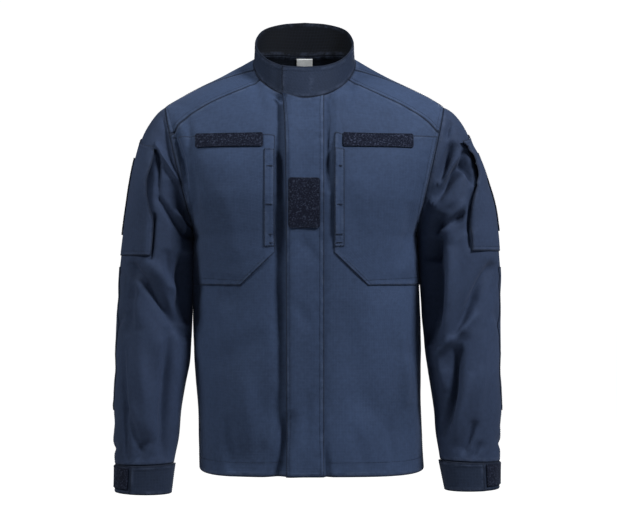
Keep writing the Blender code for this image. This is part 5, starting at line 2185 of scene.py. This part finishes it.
@dataclass(frozen=True)
class StandCollar(Form):
    """The stand collar, which laps left over right at the front, and the label inside the neck."""

    body: BodyForm
    division: Division
    cloth: float = 2.6
    under_end: float = 0.10
    over_x: float = 37.5
    lap: float = 1.9
    drop: float = 1.0
    rumpled: float = 0.45
    over_lap: Span = (3.3, 3.62)
    under_lap: Span = (0.38, 0.70)
    label_width: float = 28.0
    label_z: Span = (-5.0, 13.5)
    label_thick: float = 1.0

    def _half_band(self, turn: Array, height: Array) -> Array:
        """Points of the left half of the band; height 0 at the seam, 1 at the top edge.

        Args:
            turn: Turns round it.
            height: Heights.

        Returns:
            A point for each place.
        """
        bottom = self.body.points(turn, np.full_like(turn, 3.0))
        keys = [row.around for row in COLLAR_TOP]
        columns = ([getattr(row, name) for row in COLLAR_TOP] for name in ("top_x", "top_y", "top_z"))
        top = np.stack([smooth_column(turn, keys, column) for column in columns], -1)
        return between(bottom, top, height[..., None])

    def points(self, run: Array, height: Array) -> Array:
        """Points of the whole band; run falls from the under end round the back to the upper end.

        Args:
            run: Places along the band.
            height: Heights.

        Returns:
            A point for each place.
        """
        wrapped = np.where(run < -2, run + 4, run)
        points = self._half_band(np.abs(wrapped), height)
        side = np.where(wrapped < 0, -1.0, 1.0) * np.where(np.abs(wrapped) < 1e-9, 0, 1)
        points[..., 0] = np.abs(points[..., 0]) * side
        return points

    def _up(self, run: Array) -> Array:
        """The band's upward direction."""
        return unit(self.points(run, np.ones_like(run)) - self.points(run, np.zeros_like(run)))

    def facing(self, run: Array, height: Array) -> Array:
        """The band's outward directions."""
        along = self.points(run - 0.05, height) - self.points(run + 0.05, height)
        return unit(np.cross(self._up(run), along))

    def worn_points(self, places: Array) -> Array:
        """Points of the band, set off where its ends lap and a little uneven along its top.

        Args:
            places: Places on the surface.

        Returns:
            A point for each place.
        """
        run, height = places.T
        points = self.points(run, height)
        lap = self.lap * (ease(-run, *self.over_lap) - ease(run, -self.under_lap[1], -self.under_lap[0]))
        rumple = self.body.motion.rumple.moves(points) * self.rumpled * ease(height, 0.0, 0.3)
        return (
            points
            + self.facing(run, height) * (lap + rumple)[:, None]
            - self._up(run) * (self.drop * (1 - ease(height, 0.0, 0.1)))[:, None]
        )

    def _places(self) -> Array:
        """Places along the band, under end to upper end.

        Returns:
            A grid of places.
        """
        division, body = self.division, self.body
        half = np.concatenate([
            np.linspace(0, body.yoke_neck, division.front_neck + 1),
            np.linspace(body.yoke_neck, body.shoulder_neck, division.arm_yoke // 2 + 1)[1:],
            np.linspace(body.shoulder_neck, 1, division.ridge + 1)[1:],
            np.linspace(1, 2, division.back_neck * 2 + 1)[1:],
        ])
        turns = np.linspace(0, 0.6, 200)
        seam_end, top_end = (
            float(np.interp(self.over_x, self._half_band(turns, np.full_like(turns, height))[:, 0], turns))
            for height in (0.0, 1.0)
        )
        heights = clustered(division.collar_rows, 0.5)[:, None]
        under_front = self.under_end * np.linspace(1, 0, 5)[:-1]
        round_neck = np.concatenate([under_front, -half, -(4 - half[::-1][1:])])
        over_front = -4 - between(seam_end, top_end, heights) * np.linspace(0, 1, 8)[1:]
        run = np.concatenate([np.tile(round_neck, (len(heights), 1)), over_front], axis=1)
        return np.stack(np.broadcast_arrays(run, heights), -1)

    def build(self) -> None:
        """Makes the collar, its sewing and the label."""
        collar = Panel([self._places()], self)
        lay(collar, "collar", self.cloth, SHADED_BAND_CLOTH, ["back"])
        sewing = Sewing("collar_stitches")
        for edge, rows in ((Edge.TOP, (2.6, 9.0)), (Edge.BOTTOM, (2.4,)), (Edge.LAST, (2.6,))):
            sewing.border(collar, rows, (edge,))
        sewing.build()
        self._label()

    def _label(self) -> None:
        """Makes the plain label inside the back of the neck."""
        x = self.label_width * (clustered(12, 0.4) - 0.5)
        x, z = paired(x[None], between(*self.label_z, clustered(8, 0.4))[:, None])
        inside = np.full(x.shape, -(2.0 + LIE))
        label = Panel([self.body.rear.place_at(x, z)], self.body.rear, [inside])
        lay(label, "neck_label", self.label_thick, LABEL, ["back"])


# ---------------------------------------------------------------- sleeves

@dataclass(frozen=True)
class PocketPlace:
    """A sleeve pocket's open front edge, across from the centre plane, and its heights at the outer line."""

    front_z: tuple[float, ...]
    front_x: tuple[float, ...]
    top_z: float
    bottom_z: float
    loop_top_z: float
    loop_bottom_z: float
    stand: float


SLEEVE_POCKETS = {
    Side.LEFT: PocketPlace(
        (-327, -299, -271, -244, -222, -202, -184, -164, -153, -142),
        (280, 279, 277.5, 281, 284, 288, 285, 280, 273, 262),
        -125, -325, -158, -291, 10.0,
    ),
    Side.RIGHT: PocketPlace(
        (-342, -305, -278, -256, -234, -209, -184, -166, -148),
        (258, 254, 252, 255.5, 259.5, 258.5, 252, 249.5, 250),
        -132, -333, -166, -298, 11.0,
    ),
}


@dataclass(frozen=True)
class Sleeve:
    """A sleeve with its pocket, loop tape and elbow patch."""

    form: SleeveForm
    division: Division
    place: PocketPlace
    wall: float = 2.0
    patch: float = 1.4
    elbow_cloth: float = 1.0
    loop: float = 2.0
    pocket_back_y: float = 70.0
    behind_x: float = 248.0
    turn_y: Span = (-40.0, 10.0)
    top_fall: float = 0.30
    stand_width: float = 38.0
    gapes: tuple[Spot, ...] = ((66.0, 58.0, 1.0), (165.0, 40.0, 0.45))   # below the top, width, share
    loop_y: Span = (-12.0, 62.0)
    loop_corner: float = 4.0
    elbow_y: float = -34.0
    elbow_z: Span = (-596.0, -352.0)
    outer_half_x: float = 262.0
    seam_rows: Span = (0.0, 0.09)        # turns between the rows from the patch to the cuff
    double: Span = (2.0, 7.5)
    single: float = 2.4
    pocket_steps: tuple[int, int] = (36, 44)     # across and up
    loop_steps: tuple[int, int] = (18, 26)
    elbow_steps: tuple[int, int] = (34, 52)

    @property
    def label(self) -> str:
        """The side's label."""
        return self.form.side.label

    def behind_front_edge(self, points: Array) -> Array:
        """How far each point lies behind the pocket's open front edge.

        Args:
            points: Points.

        Returns:
            A distance for each point.
        """
        x, y = self.form.side.value * points[..., 0], points[..., 1]
        front = np.interp(points[..., 2], self.place.front_z, self.place.front_x)
        return x - between(front, self.behind_x, ease(y, *self.turn_y))

    def pocket_lift(self, points: Array) -> Array:
        """How far the pocket's outside is from the sleeve: most at the upper part of its open edge.

        Args:
            points: Points.

        Returns:
            A distance for each point.
        """
        to_edge = 1 - ease(self.behind_front_edge(points), 0, self.stand_width)
        below_top = self.place.top_z - points[..., 2]
        tall = sum(share * np.exp(-((below_top - z) / width) ** 2) for z, width, share in self.gapes)
        ahead = 1 - ease(points[..., 1], *self.turn_y)
        return LIE + self.patch + self.place.stand * to_edge * tall * ahead

    def _turns(self, rule: Rule, z: Array, low: float, high: float) -> Array:
        """The turns, between two, where a rule on the points of rings at heights z is zero.

        Args:
            rule: The line that the edge follows.
            z: Heights.
            low: The lower end.
            high: The upper end.

        Returns:
            Turns for each row.
        """
        first, last = np.full(z.shape, low), np.full(z.shape, high)
        for _ in range(24):
            middle = (first + last) / 2
            beyond = rule(self.form.points(middle, self.form.station_at(middle, z))) > 0
            rising = np.array(low < high)
            last = np.where(beyond == rising, middle, last)
            first = np.where(beyond == rising, first, middle)
        return (first + last) / 2

    def _pocket_places(self) -> Array:
        """Places of the pocket: columns from its front edge to its back, rows from the bottom.

        Returns:
            A grid of places.
        """
        bottom, highest = self.place.bottom_z, self.place.top_z
        marks = np.linspace(bottom - 5, highest + 5, 60)
        fronts = self._turns(self.behind_front_edge, marks, -2.4, -0.02)
        backs = self._turns(lambda points: points[..., 1] - self.pocket_back_y, marks, 0.2, 1.5)
        columns, rows = self.pocket_steps
        across, up = paired(clustered(columns)[None], clustered(rows, 0.4)[:, None])
        z = between(bottom, highest, up)
        for _ in range(8):
            turn = between(np.interp(z, marks, fronts), np.interp(z, marks, backs), across)
            y = self.form.points(turn, self.form.station_at(turn, z))[..., 1]
            z = between(bottom, highest - np.maximum(-y, 0) * self.top_fall, up)
        return self.form.places_at(turn, z)

    def _panel(self, places: Array, lift: Optional[Rule] = None) -> Panel:
        """A panel on the sleeve, moved out by a rule on its points."""
        lifts = None if lift is None else [lift(self.form.points(places[..., 0], places[..., 1]))]
        return Panel([places], self.form, lifts)

    def build(self) -> None:
        """Makes the sleeve and what lies on it."""
        turns = self.form.turns(self.division)
        stations = np.linspace(0, CUFF_STATION, self.division.sleeve_rows + 1)
        arm = self._panel(np.stack(paired(turns[None], stations[:, None]), -1))
        lay(arm, "sleeve_" + self.label, self.wall, SLEEVE_SHADE_CLOTH, ["yoke_" + self.label], SEAM_DRAW)
        self._pocket()
        self._elbow()

    def _pocket(self) -> None:
        """Makes the pocket, the loop tape on it and their sewing."""
        pocket = self._panel(self._pocket_places(), self.pocket_lift)
        lay(pocket, "sleeve_pocket_" + self.label, self.patch, SLEEVE_SHADE_CLOTH, ["sleeve_" + self.label])
        loop_z = (self.place.loop_bottom_z, self.place.loop_top_z)
        columns, rows = self.loop_steps
        y, z = rounded_patch(self.loop_y, loop_z, self.loop_corner, rows, clustered(columns, 0.3))
        places = self.form.places_at(self.form.turn_at(y, z, 0.2), z)
        loop = self._panel(places, lambda points: self.pocket_lift(points) + LIE + self.loop)
        lay(loop, "sleeve_loop_" + self.label, self.loop, LOOP_TAPE, ["sleeve_pocket_" + self.label])
        sewing = Sewing("sleeve_pocket_stitches_" + self.label)
        sewing.border(pocket, self.double, (Edge.TOP, Edge.BOTTOM, Edge.LAST))
        sewing.border(pocket, (self.single,), (Edge.FIRST,))
        sewing.tape(loop)
        sewing.build()

    def _elbow(self) -> None:
        """Makes the elbow patch and the sewing round it and down to the cuff."""
        form = self.form
        columns, rows = self.elbow_steps
        z = between(*self.elbow_z, clustered(rows, 0.4))
        front = form.turn_at(np.full_like(z, self.elbow_y), z, -0.3)
        back = self._turns(
            lambda points: self.outer_half_x - form.side.value * points[..., 0], z, 0.6, 2.6
        )
        turn = between(front[:, None], back[:, None], clustered(columns, 0.4)[None])
        elbow = self._panel(
            form.places_at(turn, z[:, None]),
            lambda points: np.full(points.shape[:-1], LIE + self.elbow_cloth),
        )
        lay(elbow, "elbow_patch_" + self.label, self.elbow_cloth, SLEEVE_SHADE_CLOTH, ["sleeve_" + self.label])
        sewing = Sewing("elbow_stitches_" + self.label)
        sewing.border(elbow, self.double)
        station = np.linspace(form.station_at(front[:1], z[:1])[0] + 0.05, CUFF_STATION - 0.05, 60)
        for drawn in self.seam_rows:
            line = np.stack([np.full_like(station, front[0] + drawn), station], -1)
            sewing.row(np.concatenate([form.worn_points(line), form.worn_facing(line)], -1))
        sewing.build()


@dataclass(frozen=True)
class Cuff:
    """A cuff with its tab and the loop tape that the tab closes on."""

    form: SleeveForm
    division: Division
    cloth: float = 2.6
    loop: float = 2.0
    tab: Span = (0.19, 0.50)
    loop_span: Span = (-0.03, 0.175)
    loop_height: Span = (0.06, 0.84)
    tab_columns: int = 30
    loop_columns: int = 12
    seam_rows: Span = (2.4, 7.5)
    tab_row: float = 2.4
    end_row: float = 3.0

    def _panel(self, turns: Array, lift: float, height: Span = (0.0, 1.0)) -> Panel:
        """A panel on the cuff.

        Args:
            turns: Turns round it.
            lift: How far it is moved out.
            height: Two shares of the cuff's height, from its seam.

        Returns:
            The panel.
        """
        share = between(*height, clustered(self.division.cuff_rows, 0.4))
        station = between(CUFF_STATION, END_STATION, share)
        places = np.stack(paired(turns[None], station[:, None]), -1)
        return Panel([places], self.form, [np.full(places.shape[:2], lift)])

    def _over_front(self, reach: Span, columns: int) -> Array:
        """Turns over the front, between two shares of the way round from the outer line."""
        return -2 * math.pi * between(*reach, clustered(columns, 0.4))

    def build(self) -> None:
        """Makes the cuff, its tab, its tape and their sewing."""
        label = self.form.side.label
        band = self._panel(self.form.turns(self.division), 0.0)
        lay(band, "cuff_" + label, self.cloth, SHADED_BAND_CLOTH, ["sleeve_" + label], SEAM_DRAW)
        tab = self._panel(self._over_front(self.tab, self.tab_columns), LIE + self.cloth)
        lay(tab, "cuff_tab_" + label, self.cloth, SHADED_BAND_CLOTH, ["cuff_" + label])
        loop_turns = self._over_front(self.loop_span, self.loop_columns)
        loop = self._panel(loop_turns, LIE + self.loop, self.loop_height)
        lay(loop, "cuff_loop_" + label, self.loop, LOOP_TAPE, ["cuff_" + label])
        sewing = Sewing("cuff_stitches_" + label)
        for panel in (band, tab):
            sewing.border(panel, self.seam_rows, (Edge.BOTTOM,))
        sewing.border(band, (self.end_row,), (Edge.TOP,))
        sewing.border(tab, (self.tab_row,), (Edge.TOP, Edge.FIRST, Edge.LAST))
        sewing.tape(loop)
        sewing.build()


# ---------------------------------------------------------------- studio

@dataclass(frozen=True)
class Lamp:
    """A square soft light: its place, width, power in watts and colour."""

    name: str
    place: Spot
    width: float
    power: float
    colour: Spot


@dataclass(frozen=True)
class Studio:
    """A pale floor that rises behind, soft lights and the camera, in metres."""

    camera_at: Spot = (0.007, -3.0, -0.349)
    lens: float = 101.8
    sensor: float = 36.0
    aim: Spot = (0.0, 0.0, -0.35)
    lamps: tuple[Lamp, ...] = (
        Lamp("key", (1.7, -1.35, 1.6), 0.6, 116.0, (0.92, 0.96, 1.0)),
        Lamp("fill", (-1.8, -0.95, 1.4), 0.7, 50.0, (0.94, 0.98, 1.0)),
        Lamp("back", (0.5, 2.6, 0.3), 0.9, 50.0, (0.94, 0.98, 1.0)),
    )
    floor_z: float = -1.25
    half_width: float = 14.0
    front_y: float = -14.0
    wall_y: float = 12.0
    wall_top: float = 3.0
    bend: float = 1.0
    paper: Colour = (0.55, 0.55, 0.56, 1.0)
    paper_roughness: float = 0.9
    paper_glow: float = 1.0
    sky: float = 0.02

    def build(self) -> None:
        """Makes the floor, the lights, the sky and the camera."""
        self._sweep()
        for lamp in self.lamps:
            self._light(lamp)
        self._sky()
        camera = add_object("camera", bpy.data.cameras.new("camera"))
        camera.data.lens = self.lens
        camera.data.sensor_width = self.sensor
        camera.location = self.camera_at
        camera.rotation_euler = (math.pi / 2, 0.0, 0.0)
        bpy.context.scene.camera = camera

    def _sweep(self) -> None:
        """The floor and the wall behind it, in one bent sheet."""
        turn = np.linspace(0, math.pi / 2, 13)
        y = self.wall_y - self.bend + self.bend * np.sin(turn)
        z = self.floor_z + self.bend * (1 - np.cos(turn))
        profile = [(self.front_y, self.floor_z), *zip(y.tolist(), z.tolist()), (self.wall_y, self.wall_top)]
        points = [(x, y, z) for y, z in profile for x in (-self.half_width, self.half_width)]
        faces = [(2 * i, 2 * i + 1, 2 * i + 3, 2 * i + 2) for i in range(len(profile) - 1)]
        mesh = bpy.data.meshes.new("floor")
        mesh.from_pydata(points, [], faces)
        palette = Palette("StudioPaper")
        seen = palette.node("ShaderNodeLightPath").outputs["Is Camera Ray"]
        palette.shade({
            "Base Color": self.paper,
            "Roughness": self.paper_roughness,
            "Emission Strength": self.paper_glow,
            "Emission Color": palette.mix(seen, (0.0, 0.0, 0.0, 1.0), (1.0, 1.0, 1.0, 1.0)),
        })
        mesh.materials.append(palette.material)
        floor = add_object("floor", mesh)

    def _light(self, lamp: Lamp) -> None:
        """Places a light and aims it at the jacket.

        Args:
            lamp: The light.
        """
        light = add_object(lamp.name, bpy.data.lights.new(lamp.name, "AREA"))
        light.data.size = lamp.width
        light.data.energy = lamp.power
        light.data.color = lamp.colour
        light.location = lamp.place
        way = Vector(self.aim) - Vector(lamp.place)
        light.rotation_euler = way.to_track_quat("-Z", "Y").to_euler()

    def _sky(self) -> None:
        """Even pale light from all round, which the camera sees as white."""
        world = bpy.data.worlds.new("studio")
        world.use_nodes = True
        nodes = Nodes(world.node_tree)
        background = nodes.tree.nodes["Background"].inputs
        seen = nodes.node("ShaderNodeLightPath").outputs["Is Camera Ray"]
        nodes.join((1.0, 1.0, 1.0, 1.0), background["Color"])
        nodes.join(nodes.maths("MAXIMUM", seen, self.sky), background["Strength"])
        bpy.context.scene.world = world
        bpy.context.scene.view_settings.view_transform = "Standard"


# ---------------------------------------------------------------- all of it

def build_jacket() -> None:
    """Builds every sub-assembly in order."""
    creases = [Crease(view, *row) for view, rows in MAIN_CREASES + FINE_CREASES for row in rows]
    for row in PUCKERS:
        creases += row.creases()
    body = BodyForm(ClothMotion(tuple(creases), Rumple()))
    division = Division()
    BodyPanels(body, division).build()
    StandCollar(body, division).build()
    ChestPockets(body).build()
    StormFlap(body).build()
    for side in Side:
        form = SleeveForm(body, side)
        Sleeve(form, division, SLEEVE_POCKETS[side]).build()
        Cuff(form, division).build()


def main() -> None:
    """Builds the jacket and the studio."""
    logging.basicConfig(level=logging.INFO, format="%(name)s: %(message)s")
    build_jacket()
    Studio().build()


if __name__ == "__main__":
    main()
